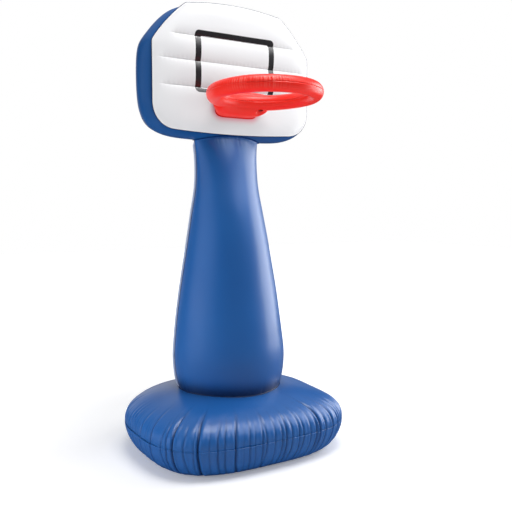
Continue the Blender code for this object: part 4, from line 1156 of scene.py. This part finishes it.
# place, aim, width, height, watts and whether the gloss sees it
lamps = {
    "left": ((-2.3, 0.3, 0.55), (0, 0, 0.7), 1.6, 1.4, 28, False),
    "right": ((3.12, -0.6, 1.6), (0, 0, 0.9), 2.6, 3.0, 97, True),
    "top": ((0.0, -1.05, 4.6), (0, 0, 1.2), 2.4, 2.0, 118, True),
}


def addLamp(name, spot, aim, width, height, power, mirrored):
    data = bpy.data.lights.new(name, "AREA")
    data.shape = "RECTANGLE"
    data.size, data.size_y = width, height
    data.energy = power
    lamp = addObject(name, data)
    lamp.location = spot
    lamp.visible_glossy = mirrored
    lamp.rotation_euler = (Vector(aim) - Vector(spot)).to_track_quat("-Z", "Y").to_euler()


# sides of the set that the gloss sees: heading, where it starts and is full, dim level, bright level
lightSides = [
    ((0.99, -0.14, 0.0), 0.60, 0.97, 0.04, 1.25),
    ((0.36, -0.52, 0.775), 0.83, 0.96, 0.0, 3.8),
    ((-1.00, 0.05, 0.05), 0.70, 0.98, 0.0, 1.0),
    ((0.0, 0.0, 1.0), 0.40, 0.75, 0.0, 0.55),
    ((0.20, 0.98, 0.0), 0.80, 1.0, 0.0, 0.90),
]
roomLight = 0.27  # what diffuse rays see


def mapRange(tree, value, low, high, dim, bright, **settings):
    inputs = {"Value": value, "From Min": low, "From Max": high, "To Min": dim, "To Max": bright}
    return addNode(tree, "MapRange", inputs, **settings).outputs["Result"]


def makeWorld():
    # the camera sees white; glossy rays see the bright sides of the set, each fading out round its
    # heading, and a dim room elsewhere; other rays see an even light
    world = bpy.data.worlds.new("studio")
    world.use_nodes = True
    bpy.context.scene.world = world
    tree = world.node_tree
    light = addNode(tree, "LightPath").outputs
    place = addNode(tree, "TexCoord").outputs["Generated"]
    mirrored = 0.0
    for heading, *levels in lightSides:
        facing = addNode(tree, "VectorMath", {0: place, 1: heading}, operation="DOT_PRODUCT")
        side = mapRange(tree, facing.outputs["Value"], *levels, interpolation_type="SMOOTHSTEP")
        mirrored = calc(tree, "MAXIMUM", mirrored, side)
    seen = calc(tree, "MAXIMUM", light["Is Camera Ray"], light["Is Transmission Ray"])
    unseen = mixValue(tree, light["Is Glossy Ray"], roomLight, mirrored)
    strength = mixValue(tree, seen, unseen, 1.0)
    feedAll(tree, tree.nodes["Background"], {"Strength": strength, "Color": (1, 1, 1)})


floorLook = {
    "reach": 14.0, "colour": (0.90, 0.90, 0.91), "mirrored": (0.14, 0.14, 0.15),
    "lift": (0.9, 3.5, 0.22, 1.0),  # from this distance to that, from this strength to that
    "fill": 0.18,
}


def makeFloor():
    # the camera sees the floor lifted to paper white with the shadow still in it, the hoop's
    # gloss sees it dark, and its undersides get a little more light from it
    mesh = bpy.data.meshes.new("floor")
    far = floorLook["reach"]
    mesh.from_pydata([(-far, -far, 0), (far, -far, 0), (far, far, 0), (-far, far, 0)], [], [(0, 1, 2, 3)])
    floor = addObject("floor", mesh)
    made, tree, shader = newMaterial("paleFloor")
    light = addNode(tree, "LightPath").outputs
    place = addNode(tree, "TexCoord").outputs["Object"]
    away = addNode(tree, "VectorMath", {0: place}, operation="LENGTH").outputs["Value"]
    rise = mapRange(tree, away, *floorLook["lift"])
    fill = calc(tree, "MULTIPLY", light["Is Diffuse Ray"], floorLook["fill"])
    colour = mixColour(tree, light["Is Glossy Ray"], floorLook["colour"], floorLook["mirrored"])
    feedAll(tree, shader, {
        "Base Color": colour, "Roughness": 0.9, "Specular IOR Level": 0.1, "Emission Color": (1, 1, 1),
        "Emission Strength": calc(tree, "MULTIPLY_ADD", rise, light["Is Camera Ray"], fill)})
    mesh.materials.append(made)


placeCamera()
makeWorld()
makeFloor()
for name, lamp in lamps.items():
    addLamp(name, *lamp)
bpy.context.scene.view_settings.view_transform = "Standard"
print("scene lit")
